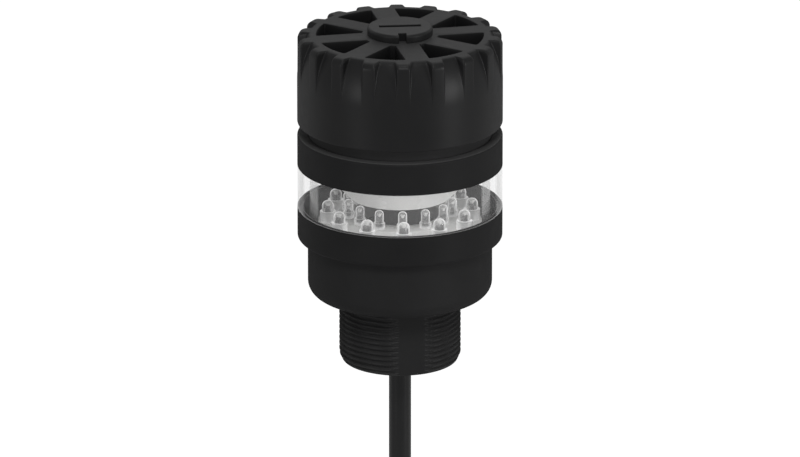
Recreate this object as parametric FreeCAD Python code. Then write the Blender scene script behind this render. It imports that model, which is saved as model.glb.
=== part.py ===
"""Compact stack light: a threaded base, one clear light module and a sounder under a ribbed, turning cap.

The part stands with +Z up. The origin is on the axis, where the threaded stem meets the shoulder that
rests on a panel, and the front is -Y, where the stem has its key flat.
"""
import FreeCAD, Part
import math
import os

from FreeCAD import Vector

os.makedirs("parts", exist_ok=True)

# Driving dimensions, in millimetres
BODY_R = 25.0
FIT = 0.05
RUNNING_GAP = 0.06
FREE_GAP = 0.3

# Threaded stem
STEM_R = 14.87
STEM_LENGTH = 17.0
STEM_LEAD = 1.8
STEM_TIP_R = 14.0
STEM_TIP_ROUND = 0.6
STEM_BORE_R = 11.0
KEY_FLAT_OFFSET = 13.75

# Base housing
HOUSING_STEP = 2.5
HOUSING_HEIGHT = 14.55
HOUSING_EDGE_R = 3.4
HOUSING_WALL = 2.5
HOUSING_FLOOR = 2.5
SPIGOT_WALL = 1.5
SPIGOT_HEIGHT = 1.2
GASKET_THICKNESS = 0.5
BOARD_THICKNESS = 1.5
CONTROL_BOARD_MARGIN = 1.5
CONTROL_BOARD_LIFT = 5.5
BOSS_COUNT = 3
BOSS_R = 2.6
BOSS_INSET = 2.5
SCREW_R = 1.2
SCREW_HEAD_R = 2.2
SCREW_HEAD_HEIGHT = 1.5
SCREW_DEPTH = 4.0
CONNECTOR_LENGTH = 9.0
CONNECTOR_WIDTH = 4.5
CONNECTOR_HEIGHT = 2.2

# Lower ring, lens and upper ring
LOWER_RING_HEIGHT = 7.75
LOWER_RING_EDGE_R = 0.75
WEB_THICKNESS = 0.75
LENS_HEIGHT = 10.7
LENS_WALL = 1.5
TONGUE_HEIGHT = 1.2
TONGUE_THICKNESS = 0.6
TONGUE_INSET = 0.45
UPPER_RING_HEIGHT = 7.9
UPPER_WEB_THICKNESS = 1.8
RING_EDGE_BREAK = 0.15
INNER_TUBE_GAP = 1.5
INNER_TUBE_WALL = 2.0
DUCT_R = 5.0
DUCT_WALL = 0.8

# Light source
LED_BOARD_WIDTH = 10.15
CARRIER_TAPER = 0.6
CARRIER_HEIGHT = 1.9
CARRIER_GROOVE_INSET = 1.18
CARRIER_GROOVE_WIDTH = 0.3
CARRIER_GROOVE_DEPTH = 0.4
OUTER_LED_COUNT = 12
OUTER_LED_INSET = 2.39
OUTER_LED_R = 1.5
OUTER_LED_HEIGHT = 5.3
OUTER_LED_START = 9.0
INNER_LED_COUNT = 14
INNER_LED_INSET = 2.07
INNER_LED_R = 1.1
INNER_LED_HEIGHT = 4.6
INNER_LED_START = 9.2
LED_FLANGE_WIDTH = 0.4
LED_FLANGE_HEIGHT = 1.0
DOME_SHARE = 0.9
REFLECTOR_LOW_INSET = 0.43
REFLECTOR_MARGIN = 0.2
REFLECTOR_RISE = 7.85
REFLECTOR_WALL = 1.4

# Sounder body
NECK_STEP = 2.6
NECK_HEIGHT = 3.1
NECK_OVERLAP = 1.6
DRUM_WALL = 1.8
DECK_THICKNESS = 1.6
PORT_WIDTH = 5.6
PORT_INNER_R = 10.4
PORT_MARGIN = 0.2
HUB_BOSS_R = 6.5
HUB_BOSS_DEPTH = 9.0
SOUNDER_R = 11.0
SOUNDER_HEIGHT = 7.0
SOUNDER_MOUTH_R = 1.6
SOUNDER_MOUTH_DEPTH = 1.0
STOP_LUG_ANGLE = 8.0
STOP_LUG_HEIGHT = 1.4
STOP_LUG_REACH = 1.2
STOP_DIRECTION = 90.0

# Volume cap
CAP_HEIGHT = 22.1
CAP_TOP_EDGE_R = 1.5
CAP_LOW_EDGE_R = 0.35
CAP_WALL = 4.1
CAP_PLATE = 3.4
CAP_TURN = 22.5
RIB_COUNT = 18
GROOVE_DEPTH = 2.8
GROOVE_HEIGHT = 11.3
GROOVE_MOUTH_WIDTH = 5.5
GROOVE_FLOOR_WIDTH = 3.7
WINDOW_COUNT = 8
WINDOW_LEDGE = 0.6
WINDOW_CORNER_R = 0.4
SPOKE_WIDTH = 5.9
HUB_PLATE_R = 9.3
WASHER_THICKNESS = 0.3
WASHER_R = 6.2

# Hub retainer
HUB_HEAD_R = 7.94
HUB_HEAD_HEIGHT = 2.0
HUB_HEAD_EDGE_R = 0.7
HUB_SHANK_R = 4.0
HUB_SHANK_LENGTH = 11.0
HUB_SLOT_LENGTH = 10.1
HUB_SLOT_WIDTH = 1.5
HUB_SLOT_DEPTH = 1.0
HUB_NOTCH_WIDTH = 1.9
HUB_NOTCH_DEPTH = 2.1
HUB_TURN = -7.0

# Cable, with the length that isn't in view folded into a tied hank
CABLE_R = 2.72
GLAND_RECESS = 0.8
GLAND_FLANGE_R = 13.0
GLAND_FLANGE_HEIGHT = 1.5
CABLE_POINTS = [(0.0, 0.0, -16.2), (0.0, 0.0, -52.0), (0.0, 11.2, -77.0), (0.0, 11.2, -97.0)]
ARC_SHARE = 0.45
HANK_WAIST_LENGTH = 16.0
HANK_LOOP_R = 24.6
HANK_WAIST_R = 11.2
HANK_DEPTH = 28.0
HANK_SHOULDER = 34.0
HANK_TAPER = 12.0
HANK_BLEND_R = 7.0
TIE_WIDTH = 5.0
TIE_THICKNESS = 1.2
JACKET_END = 6.0
LEAD_R = 0.75
LEAD_COUNT = 4
LEAD_LENGTH = 22.0
LEAD_PITCH_R = 1.35

# Levels worked out from the dimensions above
RING_Z = HOUSING_HEIGHT
SPIGOT_TOP_Z = RING_Z + SPIGOT_HEIGHT
WEB_Z = SPIGOT_TOP_Z + GASKET_THICKNESS
WEB_TOP_Z = WEB_Z + WEB_THICKNESS
LENS_Z = RING_Z + LOWER_RING_HEIGHT
UPPER_Z = LENS_Z + LENS_HEIGHT
UPPER_WEB_TOP_Z = UPPER_Z + UPPER_WEB_THICKNESS
NECK_Z = UPPER_Z + UPPER_RING_HEIGHT
CAP_Z = NECK_Z + NECK_HEIGHT
CAP_TOP_Z = CAP_Z + CAP_HEIGHT
PLATE_Z = CAP_TOP_Z - CAP_PLATE
SHOULDER_Z = CAP_Z + NECK_OVERLAP
DECK_TOP_Z = PLATE_Z - WASHER_THICKNESS - RUNNING_GAP
DECK_Z = DECK_TOP_Z - DECK_THICKNESS
LED_BOARD_TOP_Z = WEB_TOP_Z + BOARD_THICKNESS
CARRIER_TOP_Z = LED_BOARD_TOP_Z + CARRIER_HEIGHT
SOUNDER_BOARD_TOP_Z = CAP_Z
GLAND_Z = -STEM_LENGTH + GLAND_RECESS
HANK_HEIGHT = 2 * (HANK_SHOULDER + HANK_TAPER) + HANK_WAIST_LENGTH

# Radii worked out from the dimensions above
HOUSING_R = BODY_R - HOUSING_STEP
CAVITY_R = HOUSING_R - HOUSING_WALL
SPIGOT_R = CAVITY_R + SPIGOT_WALL
CONTROL_BOARD_R = CAVITY_R - CONTROL_BOARD_MARGIN
BOSS_PITCH_R = CONTROL_BOARD_R - BOSS_INSET
LENS_BORE_R = BODY_R - LENS_WALL
TONGUE_R = BODY_R - TONGUE_INSET
INNER_TUBE_R = LENS_BORE_R - INNER_TUBE_GAP
TUBE_BORE_R = INNER_TUBE_R - INNER_TUBE_WALL
LED_BOARD_R = TUBE_BORE_R - FIT
LED_BOARD_BORE_R = LED_BOARD_R - LED_BOARD_WIDTH
OUTER_LED_PITCH_R = LED_BOARD_R - OUTER_LED_INSET
CARRIER_R = OUTER_LED_PITCH_R - OUTER_LED_R - LED_FLANGE_WIDTH - RUNNING_GAP
CARRIER_TOP_R = CARRIER_R - CARRIER_TAPER
INNER_LED_PITCH_R = CARRIER_TOP_R - INNER_LED_INSET
CARRIER_GROOVE_R = INNER_LED_PITCH_R - CARRIER_GROOVE_INSET
REFLECTOR_LOW_R = INNER_LED_PITCH_R - REFLECTOR_LOW_INSET
REFLECTOR_HIGH_R = TUBE_BORE_R - REFLECTOR_MARGIN
NECK_R = BODY_R - NECK_STEP
CAP_BORE_R = BODY_R - CAP_WALL
DRUM_R = CAP_BORE_R - FREE_GAP
DRUM_BORE_R = DRUM_R - DRUM_WALL
PORT_OUTER_R = DRUM_BORE_R - PORT_MARGIN
WINDOW_OUTER_R = CAP_BORE_R - WINDOW_LEDGE
CAP_MOUTH_R = NECK_R + FREE_GAP
CAP_HUB_BORE_R = HUB_SHANK_R + RUNNING_GAP

AXIS = Vector(0, 0, 1)
CENTRE = Vector(0, 0, 0)


def rounded_edges(corners):
    """Edges of a closed outline through (a, b) or (a, b, radius) corners, in the XZ plane."""
    points = [Vector(corner[0], 0, corner[1]) for corner in corners]
    radii = [corner[2] if len(corner) > 2 else 0.0 for corner in corners]
    starts, ends, middles = [], [], []
    for index, point in enumerate(points):
        before = points[index - 1] - point
        after = points[(index + 1) % len(points)] - point
        before.normalize()
        after.normalize()
        half = before.getAngle(after) / 2
        reach = radii[index] / math.tan(half)
        inward = before + after
        if radii[index]:
            inward.normalize()
            centre = point + inward * (radii[index] / math.sin(half))
            middles.append(centre - inward * radii[index])
        else:
            middles.append(point)
        starts.append(point + before * reach)
        ends.append(point + after * reach)
    edges = []
    for index in range(len(points)):
        if radii[index]:
            edges.append(Part.Arc(starts[index], middles[index], ends[index]).toShape())
        following = starts[(index + 1) % len(points)]
        if (following - ends[index]).Length > 1e-6:
            edges.append(Part.LineSegment(ends[index], following).toShape())
    return edges


def face(corners):
    """Flat face in the XZ plane with rounded corners."""
    return Part.Face(Part.Wire(rounded_edges(corners)))


def turned(corners):
    """Solid of revolution about Z, from (radius, height) or (radius, height, rounding) corners."""
    return face(corners).revolve(CENTRE, AXIS, 360)


def tube(inner_r, outer_r, low, high):
    """Plain ring between two radii and two heights."""
    return turned([(inner_r, low), (outer_r, low), (outer_r, high), (inner_r, high)])


def rod(radius, low, high, x=0.0, y=0.0):
    """Upright cylinder from one height to another."""
    return Part.makeCylinder(radius, high - low, Vector(x, y, low))


def block(width, depth, low, high, x=0.0, y=0.0):
    """Upright box centred on (x, y)."""
    return Part.makeBox(width, depth, high - low, Vector(x - width / 2, y - depth / 2, low))


def sector(inner_r, outer_r, low, high, start, end):
    """Part of a ring between two directions, in degrees from +X."""
    profile = face([(inner_r, low), (outer_r, low), (outer_r, high), (inner_r, high)])
    profile.rotate(CENTRE, AXIS, start)
    return profile.revolve(CENTRE, AXIS, end - start)


def turned_by(shape, angle):
    """Copy of a shape, turned about the axis."""
    copy = shape.copy()
    copy.rotate(CENTRE, AXIS, angle)
    return copy


def around(shape, count, start=0.0):
    """Copies of a shape, evenly spaced about the axis."""
    return [turned_by(shape, start + index * 360.0 / count) for index in range(count)]


def plan_prism(corners, low, high):
    """Upright prism from (x, y) or (x, y, radius) corners."""
    flat = face(corners)
    flat.rotate(CENTRE, Vector(1, 0, 0), -90)
    flat.translate(Vector(0, 0, low))
    return flat.extrude(Vector(0, 0, high - low))


def save(name, shape):
    """Write one sub-part, after a check that it is sound."""
    if not shape.isValid() or shape.Volume <= 0:
        raise ValueError(name + " is not a sound solid")
    shape.exportStep("parts/" + name + ".step")


def boss_places():
    """Centres of the bosses that carry the control board."""
    step = 2 * math.pi / BOSS_COUNT
    return [(BOSS_PITCH_R * math.sin(index * step), BOSS_PITCH_R * math.cos(index * step))
            for index in range(BOSS_COUNT)]


def base_housing():
    """Moulded base: a hollow drum with a threaded, keyed stem below and a spigot for the ring above."""
    shell = turned([
        (STEM_BORE_R, -STEM_LENGTH),
        (STEM_TIP_R, -STEM_LENGTH, STEM_TIP_ROUND),
        (STEM_R, STEM_LEAD - STEM_LENGTH),
        (STEM_R, 0),
        (HOUSING_R, 0, HOUSING_EDGE_R),
        (HOUSING_R, RING_Z),
        (SPIGOT_R, RING_Z),
        (SPIGOT_R, SPIGOT_TOP_Z),
        (CAVITY_R, SPIGOT_TOP_Z),
        (CAVITY_R, HOUSING_FLOOR),
        (STEM_BORE_R, HOUSING_FLOOR),
    ])
    key = block(2 * STEM_R, STEM_R, -STEM_LENGTH - 1, 0, y=-KEY_FLAT_OFFSET - STEM_R / 2)
    shell = shell.cut(key)
    board_z = HOUSING_FLOOR + CONTROL_BOARD_LIFT
    for x, y in boss_places():
        boss = rod(BOSS_R, HOUSING_FLOOR - FREE_GAP, board_z, x, y)
        hole = rod(SCREW_R + FIT, board_z - SCREW_DEPTH, board_z + 1, x, y)
        shell = shell.fuse(boss).cut(hole)
    return shell.removeSplitter()


def cable_gland():
    """Rubber plug that closes the stem round the cable."""
    radius = STEM_BORE_R - FIT
    return turned([
        (0, GLAND_Z),
        (radius, GLAND_Z, 0.4),
        (radius, HOUSING_FLOOR),
        (GLAND_FLANGE_R, HOUSING_FLOOR),
        (GLAND_FLANGE_R, HOUSING_FLOOR + GLAND_FLANGE_HEIGHT, 0.5),
        (0, HOUSING_FLOOR + GLAND_FLANGE_HEIGHT),
    ])


def control_board():
    """Round board in the base, on its bosses."""
    low = HOUSING_FLOOR + CONTROL_BOARD_LIFT
    board = rod(CONTROL_BOARD_R, low, low + BOARD_THICKNESS)
    holes = [rod(SCREW_R + FIT, low - 1, low + BOARD_THICKNESS + 1, x, y) for x, y in boss_places()]
    return board.cut(Part.makeCompound(holes))


def board_connector():
    """Socket on the control board for the leads to the upper boards."""
    low = HOUSING_FLOOR + CONTROL_BOARD_LIFT + BOARD_THICKNESS
    body = block(CONNECTOR_LENGTH, CONNECTOR_WIDTH, low, low + CONNECTOR_HEIGHT)
    pocket = block(CONNECTOR_LENGTH - 2, CONNECTOR_WIDTH - 2, low + 1, low + CONNECTOR_HEIGHT + 1)
    return body.cut(pocket)


def board_screws():
    """Screws that hold the control board on its bosses."""
    low = HOUSING_FLOOR + CONTROL_BOARD_LIFT + BOARD_THICKNESS
    shank_low = low - BOARD_THICKNESS - SCREW_DEPTH + FREE_GAP
    screws = []
    for x, y in boss_places():
        shank = rod(SCREW_R, shank_low, low, x, y)
        head = rod(SCREW_HEAD_R, low, low + SCREW_HEAD_HEIGHT, x, y)
        screws.append(shank.fuse(head))
    return Part.makeCompound(screws)


def base_gasket():
    """Flat seal between the top of the base and the ring."""
    return tube(CAVITY_R, SPIGOT_R, SPIGOT_TOP_Z, WEB_Z)


def lower_ring():
    """Ring that carries the lens, with a web under the light source."""
    groove_z = LENS_Z - TONGUE_HEIGHT - FIT
    groove_inner = TONGUE_R - TONGUE_THICKNESS - FIT
    return turned([
        (SPIGOT_R + FIT, RING_Z),
        (BODY_R, RING_Z, LOWER_RING_EDGE_R),
        (BODY_R, LENS_Z),
        (TONGUE_R + FIT, LENS_Z),
        (TONGUE_R + FIT, groove_z),
        (groove_inner, groove_z),
        (groove_inner, LENS_Z),
        (LENS_BORE_R, LENS_Z),
        (LENS_BORE_R, WEB_TOP_Z),
        (DUCT_R + FIT, WEB_TOP_Z),
        (DUCT_R + FIT, WEB_Z),
        (SPIGOT_R + FIT, WEB_Z),
    ])


def lens():
    """Clear outer tube, with a tongue at each end."""
    tongue_inner = TONGUE_R - TONGUE_THICKNESS
    return turned([
        (LENS_BORE_R, LENS_Z),
        (tongue_inner, LENS_Z),
        (tongue_inner, LENS_Z - TONGUE_HEIGHT),
        (TONGUE_R, LENS_Z - TONGUE_HEIGHT),
        (TONGUE_R, LENS_Z),
        (BODY_R, LENS_Z),
        (BODY_R, UPPER_Z),
        (TONGUE_R, UPPER_Z),
        (TONGUE_R, UPPER_Z + TONGUE_HEIGHT),
        (tongue_inner, UPPER_Z + TONGUE_HEIGHT),
        (tongue_inner, UPPER_Z),
        (LENS_BORE_R, UPPER_Z),
    ])


def upper_ring():
    """Ring between the lens and the sounder, with a web over the light source."""
    groove_z = UPPER_Z + TONGUE_HEIGHT + FIT
    groove_inner = TONGUE_R - TONGUE_THICKNESS - FIT
    return turned([
        (DUCT_R + FIT, UPPER_Z),
        (groove_inner, UPPER_Z),
        (groove_inner, groove_z),
        (TONGUE_R + FIT, groove_z),
        (TONGUE_R + FIT, UPPER_Z),
        (BODY_R, UPPER_Z, RING_EDGE_BREAK),
        (BODY_R, NECK_Z, RING_EDGE_BREAK),
        (NECK_R + FIT, NECK_Z),
        (NECK_R + FIT, UPPER_WEB_TOP_Z),
        (DUCT_R + FIT, UPPER_WEB_TOP_Z),
    ])


def inner_tube():
    """Clear inner tube round the light source."""
    return tube(TUBE_BORE_R, INNER_TUBE_R, WEB_TOP_Z, UPPER_Z)


def wire_duct():
    """Tube that takes the leads up through the light module."""
    return tube(DUCT_R - DUCT_WALL, DUCT_R, WEB_Z, UPPER_WEB_TOP_Z)


def led_board():
    """Ring-shaped white board of the light source."""
    return tube(LED_BOARD_BORE_R, LED_BOARD_R, WEB_TOP_Z, LED_BOARD_TOP_Z)


def led_carrier():
    """Raised white ring for the inner circle of light emitters."""
    groove_z = CARRIER_TOP_Z - CARRIER_GROOVE_DEPTH
    groove_inner = CARRIER_GROOVE_R - CARRIER_GROOVE_WIDTH
    return turned([
        (LED_BOARD_BORE_R, LED_BOARD_TOP_Z),
        (CARRIER_R, LED_BOARD_TOP_Z),
        (CARRIER_TOP_R, CARRIER_TOP_Z, 0.3),
        (CARRIER_GROOVE_R, CARRIER_TOP_Z),
        (CARRIER_GROOVE_R, groove_z),
        (groove_inner, groove_z),
        (groove_inner, CARRIER_TOP_Z),
        (LED_BOARD_BORE_R, CARRIER_TOP_Z, 0.2),
    ])


def emitter(radius, height, low, pitch_r, angle):
    """Domed light emitter with a flange at its foot, at a place on its circle."""
    top = low + height
    flange_r = radius + LED_FLANGE_WIDTH
    shape = turned([
        (0, low),
        (flange_r, low),
        (flange_r, low + LED_FLANGE_HEIGHT),
        (radius, low + LED_FLANGE_HEIGHT),
        (radius, top, radius * DOME_SHARE),
        (0, top),
    ])
    shape.translate(Vector(0, -pitch_r, 0))
    return turned_by(shape, angle)


def reflector():
    """White cone that hangs from the upper web and turns the light outwards."""
    low = UPPER_Z - REFLECTOR_RISE
    slope = (REFLECTOR_HIGH_R - REFLECTOR_LOW_R) / REFLECTOR_RISE
    wall_across = REFLECTOR_WALL * math.hypot(1, slope)
    return turned([
        (DUCT_R + FIT, low),
        (REFLECTOR_LOW_R, low),
        (REFLECTOR_HIGH_R, UPPER_Z),
        (REFLECTOR_HIGH_R - wall_across, UPPER_Z),
        (REFLECTOR_LOW_R - wall_across + slope * REFLECTOR_WALL, low + REFLECTOR_WALL),
        (DUCT_R + FIT, low + REFLECTOR_WALL),
    ])


def sounder_body():
    """Neck and drum that the cap turns on, with a ported deck, a boss for the retainer and a stop."""
    bore = HUB_SHANK_R + FIT
    shell = turned([
        (DRUM_BORE_R + DRUM_WALL - FREE_GAP, UPPER_WEB_TOP_Z),
        (NECK_R, UPPER_WEB_TOP_Z),
        (NECK_R, SHOULDER_Z),
        (DRUM_R, SHOULDER_Z),
        (DRUM_R, DECK_TOP_Z, 0.4),
        (bore, DECK_TOP_Z),
        (bore, DECK_TOP_Z - DECK_THICKNESS - HUB_BOSS_DEPTH),
        (HUB_BOSS_R, DECK_Z - HUB_BOSS_DEPTH),
        (HUB_BOSS_R, DECK_Z),
        (DRUM_BORE_R, DECK_Z),
        (DRUM_BORE_R, SOUNDER_BOARD_TOP_Z),
        (DRUM_BORE_R + DRUM_WALL - FREE_GAP, SOUNDER_BOARD_TOP_Z),
    ])
    half = PORT_WIDTH / 2
    port = plan_prism([
        (-half, -PORT_OUTER_R, 1.2),
        (half, -PORT_OUTER_R, 1.2),
        (half, -PORT_INNER_R, 1.2),
        (-half, -PORT_INNER_R, 1.2),
    ], DECK_Z - 1, DECK_TOP_Z + 1)
    shell = shell.cut(Part.makeCompound(around(port, WINDOW_COUNT, 180.0 / WINDOW_COUNT)))
    lug = sector(DRUM_R - DRUM_WALL / 2, DRUM_R + STOP_LUG_REACH, SHOULDER_Z - 1,
                 SHOULDER_Z + FREE_GAP + STOP_LUG_HEIGHT,
                 STOP_DIRECTION - STOP_LUG_ANGLE / 2, STOP_DIRECTION + STOP_LUG_ANGLE / 2)
    return shell.fuse(lug).removeSplitter()


def sounder_board():
    """Board under the drum's step, which drives the sounder."""
    radius = DRUM_R - FREE_GAP - FIT
    return tube(DUCT_R, radius, SOUNDER_BOARD_TOP_Z - BOARD_THICKNESS, SOUNDER_BOARD_TOP_Z)


def sounder_element():
    """Round sounder with a small mouth, on its board."""
    top = SOUNDER_BOARD_TOP_Z + SOUNDER_HEIGHT
    return turned([
        (0, SOUNDER_BOARD_TOP_Z),
        (SOUNDER_R, SOUNDER_BOARD_TOP_Z),
        (SOUNDER_R, top, 0.6),
        (SOUNDER_MOUTH_R, top),
        (SOUNDER_MOUTH_R, top - SOUNDER_MOUTH_DEPTH),
        (0, top - SOUNDER_MOUTH_DEPTH),
    ])


def thrust_washer():
    """Thin steel washer that the cap's plate turns on."""
    return tube(CAP_HUB_BORE_R, WASHER_R, DECK_TOP_Z, DECK_TOP_Z + WASHER_THICKNESS)


def hub_retainer():
    """Slotted, notched head on a round shank that keeps the cap on the drum."""
    low = CAP_TOP_Z + RUNNING_GAP
    top = low + HUB_HEAD_HEIGHT
    shape = turned([
        (0, low - HUB_SHANK_LENGTH),
        (HUB_SHANK_R, low - HUB_SHANK_LENGTH, 0.4),
        (HUB_SHANK_R, low),
        (HUB_HEAD_R, low),
        (HUB_HEAD_R, top, HUB_HEAD_EDGE_R),
        (0, top),
    ])
    slot = block(HUB_SLOT_LENGTH, HUB_SLOT_WIDTH, top - HUB_SLOT_DEPTH, top + 1)
    notch = block(HUB_NOTCH_WIDTH, 2 * HUB_NOTCH_DEPTH, low, top + 1, y=-HUB_HEAD_R)
    return turned_by(shape.cut(slot).cut(notch), HUB_TURN)


def groove_core():
    """What is left of the cap inside its grooves: the floor of each curves in from the side to the top."""
    fade_z = CAP_TOP_Z - GROOVE_HEIGHT
    bend_r = (GROOVE_HEIGHT ** 2 + GROOVE_DEPTH ** 2) / (2 * GROOVE_DEPTH)
    middle_turn = math.asin(GROOVE_HEIGHT / bend_r) / 2
    foot = Vector(BODY_R, 0, fade_z)
    middle = Vector(BODY_R - bend_r * (1 - math.cos(middle_turn)), 0, fade_z + bend_r * math.sin(middle_turn))
    head = Vector(BODY_R - GROOVE_DEPTH, 0, CAP_TOP_Z)
    inner_r = BODY_R - 2 * GROOVE_DEPTH
    corners = [head, Vector(inner_r, 0, CAP_TOP_Z), Vector(inner_r, 0, fade_z), foot]
    edges = [Part.Arc(foot, middle, head).toShape()]
    edges += [Part.LineSegment(first, second).toShape() for first, second in zip(corners, corners[1:])]
    core = Part.Face(Part.Wire(edges)).revolve(CENTRE, AXIS, 360)
    rim = [edge for edge in core.Edges
           if abs(edge.BoundBox.ZMin - CAP_TOP_Z) < 1e-4 and abs(edge.BoundBox.XMax - head.x) < 1e-4]
    return core.makeFillet(min(CAP_TOP_EDGE_R, GROOVE_DEPTH / 2), rim)


def groove_cutters():
    """One cutter for each groove, wider at its mouth than at its floor."""
    mouth = GROOVE_MOUTH_WIDTH / 2
    floor = GROOVE_FLOOR_WIDTH / 2
    spread = (mouth - floor) / GROOVE_DEPTH
    inner = BODY_R - 1.9 * GROOVE_DEPTH
    outer = BODY_R + GROOVE_DEPTH
    inner_half = floor - spread * 0.9 * GROOVE_DEPTH
    wedge = plan_prism([
        (-inner_half, -inner),
        (-mouth - spread * GROOVE_DEPTH, -outer),
        (mouth + spread * GROOVE_DEPTH, -outer),
        (inner_half, -inner),
    ], CAP_TOP_Z - GROOVE_HEIGHT, CAP_TOP_Z + 1)
    cutter = wedge.cut(groove_core())
    return around(cutter, RIB_COUNT)


def window():
    """Opening between two spokes, bounded outside and inside by arcs about the axis."""
    half = SPOKE_WIDTH / 2
    step = 2 * math.pi / WINDOW_COUNT
    apex = half / math.sin(step / 2)
    reach = 2 * WINDOW_OUTER_R
    side = Vector(math.sin(step / 2), -math.cos(step / 2), 0) * reach
    wedge = plan_prism([
        (0, -apex),
        (-side.x, side.y - apex),
        (side.x, side.y - apex),
    ], PLATE_Z - 1, CAP_TOP_Z + 1)
    piece = wedge.common(rod(WINDOW_OUTER_R, PLATE_Z - 1, CAP_TOP_Z + 1))
    piece = piece.cut(rod(HUB_PLATE_R, PLATE_Z - 1, CAP_TOP_Z + 1))
    uprights = [edge for edge in piece.Edges if edge.BoundBox.ZLength > CAP_PLATE]
    return piece.makeFillet(WINDOW_CORNER_R, uprights)


def volume_cap():
    """Cap that turns over the ports: ribbed for grip, with a spoked top."""
    body = turned([
        (CAP_MOUTH_R, CAP_Z),
        (BODY_R, CAP_Z, CAP_LOW_EDGE_R),
        (BODY_R, CAP_TOP_Z, CAP_TOP_EDGE_R),
        (CAP_HUB_BORE_R, CAP_TOP_Z),
        (CAP_HUB_BORE_R, PLATE_Z),
        (CAP_BORE_R, PLATE_Z),
        (CAP_BORE_R, SHOULDER_Z + FREE_GAP),
        (CAP_MOUTH_R, SHOULDER_Z + FREE_GAP),
    ])
    windows = around(window(), WINDOW_COUNT, 180.0 / WINDOW_COUNT)
    side_gap = math.degrees(FREE_GAP / DRUM_R)
    lug_low = STOP_DIRECTION - STOP_LUG_ANGLE / 2 - side_gap
    lug_high = STOP_DIRECTION + STOP_LUG_ANGLE / 2 + side_gap
    track = sector(CAP_BORE_R - 1, DRUM_R + STOP_LUG_REACH + FREE_GAP, SHOULDER_Z,
                   SHOULDER_Z + 2 * FREE_GAP + STOP_LUG_HEIGHT, lug_low - CAP_TURN, lug_high)
    body = body.cut(Part.makeCompound(windows)).cut(track)
    return body.cut(Part.makeCompound(groove_cutters()))


def cable_run():
    """Cable from the stem to its hank: straight runs joined by tangent arcs."""
    points = [Vector(*point) for point in CABLE_POINTS]
    edges = []
    start = points[0]
    for before, corner, after in zip(points, points[1:], points[2:]):
        back = before - corner
        ahead = after - corner
        reach = ARC_SHARE * min(back.Length, ahead.Length)
        back.normalize()
        ahead.normalize()
        half = back.getAngle(ahead) / 2
        radius = reach * math.tan(half)
        print("cable arc radius", round(radius, 1))
        bisector = back + ahead
        bisector.normalize()
        centre = corner + bisector * (radius / math.sin(half))
        edges.append(Part.LineSegment(start, corner + back * reach).toShape())
        edges.append(Part.Arc(corner + back * reach, centre - bisector * radius, corner + ahead * reach).toShape())
        start = corner + ahead * reach
    edges.append(Part.LineSegment(start, points[-1]).toShape())
    path = Part.Wire(edges)
    section = Part.Wire(Part.makeCircle(CABLE_R, points[0], points[1] - points[0]))
    swept = path.makePipeShell([section], True, False)
    expected = math.pi * CABLE_R ** 2 * path.Length
    print("cable volume over section times length", round(swept.Volume / expected, 4))
    return swept


def hank_top():
    """Height of the hank's upper end, where the cable meets it."""
    return CABLE_POINTS[-1][2]


def cable_hank():
    """Outer shape of the folded cable: a loop at each end and a waist under the tie."""
    top = hank_top()
    low = top - HANK_HEIGHT
    loop = HANK_LOOP_R
    waist = HANK_WAIST_R
    waist_top = top - HANK_SHOULDER - HANK_TAPER
    waist_low = low + HANK_SHOULDER + HANK_TAPER
    shape = face([
        (loop, top, loop * 0.98),
        (-loop, top, loop * 0.98),
        (-loop, top - HANK_SHOULDER, HANK_BLEND_R),
        (-waist, waist_top, HANK_BLEND_R),
        (-waist, waist_low, HANK_BLEND_R),
        (-loop, low + HANK_SHOULDER, HANK_BLEND_R),
        (-loop, low, loop * 0.98),
        (loop, low, loop * 0.98),
        (loop, low + HANK_SHOULDER, HANK_BLEND_R),
        (waist, waist_low, HANK_BLEND_R),
        (waist, waist_top, HANK_BLEND_R),
        (loop, top - HANK_SHOULDER, HANK_BLEND_R),
    ]).extrude(Vector(0, HANK_DEPTH, 0))
    shape.translate(Vector(0, -HANK_DEPTH / 2, 0))
    return shape


def hank_tie():
    """Band round the hank's waist."""
    middle = hank_top() - HANK_HEIGHT / 2
    width = 2 * (HANK_WAIST_R + FIT)
    depth = HANK_DEPTH + 2 * FIT
    outer = block(width + 2 * TIE_THICKNESS, depth + 2 * TIE_THICKNESS,
                  middle - TIE_WIDTH / 2, middle + TIE_WIDTH / 2)
    return outer.cut(block(width, depth, middle - TIE_WIDTH, middle + TIE_WIDTH))


def cable_leads():
    """Far end of the cable: the end of its jacket and the leads that come out of it."""
    top = hank_top() - HANK_HEIGHT
    y = -CABLE_POINTS[-1][1]
    shape = rod(CABLE_R, top - JACKET_END, top, 0, y)
    for index in range(LEAD_COUNT):
        turn = 2 * math.pi * (index + 0.5) / LEAD_COUNT
        x = LEAD_PITCH_R * math.cos(turn)
        depth = y + LEAD_PITCH_R * math.sin(turn)
        shape = shape.fuse(rod(LEAD_R, top - JACKET_END - LEAD_LENGTH, top - JACKET_END + 1, x, depth))
    return shape


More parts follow.
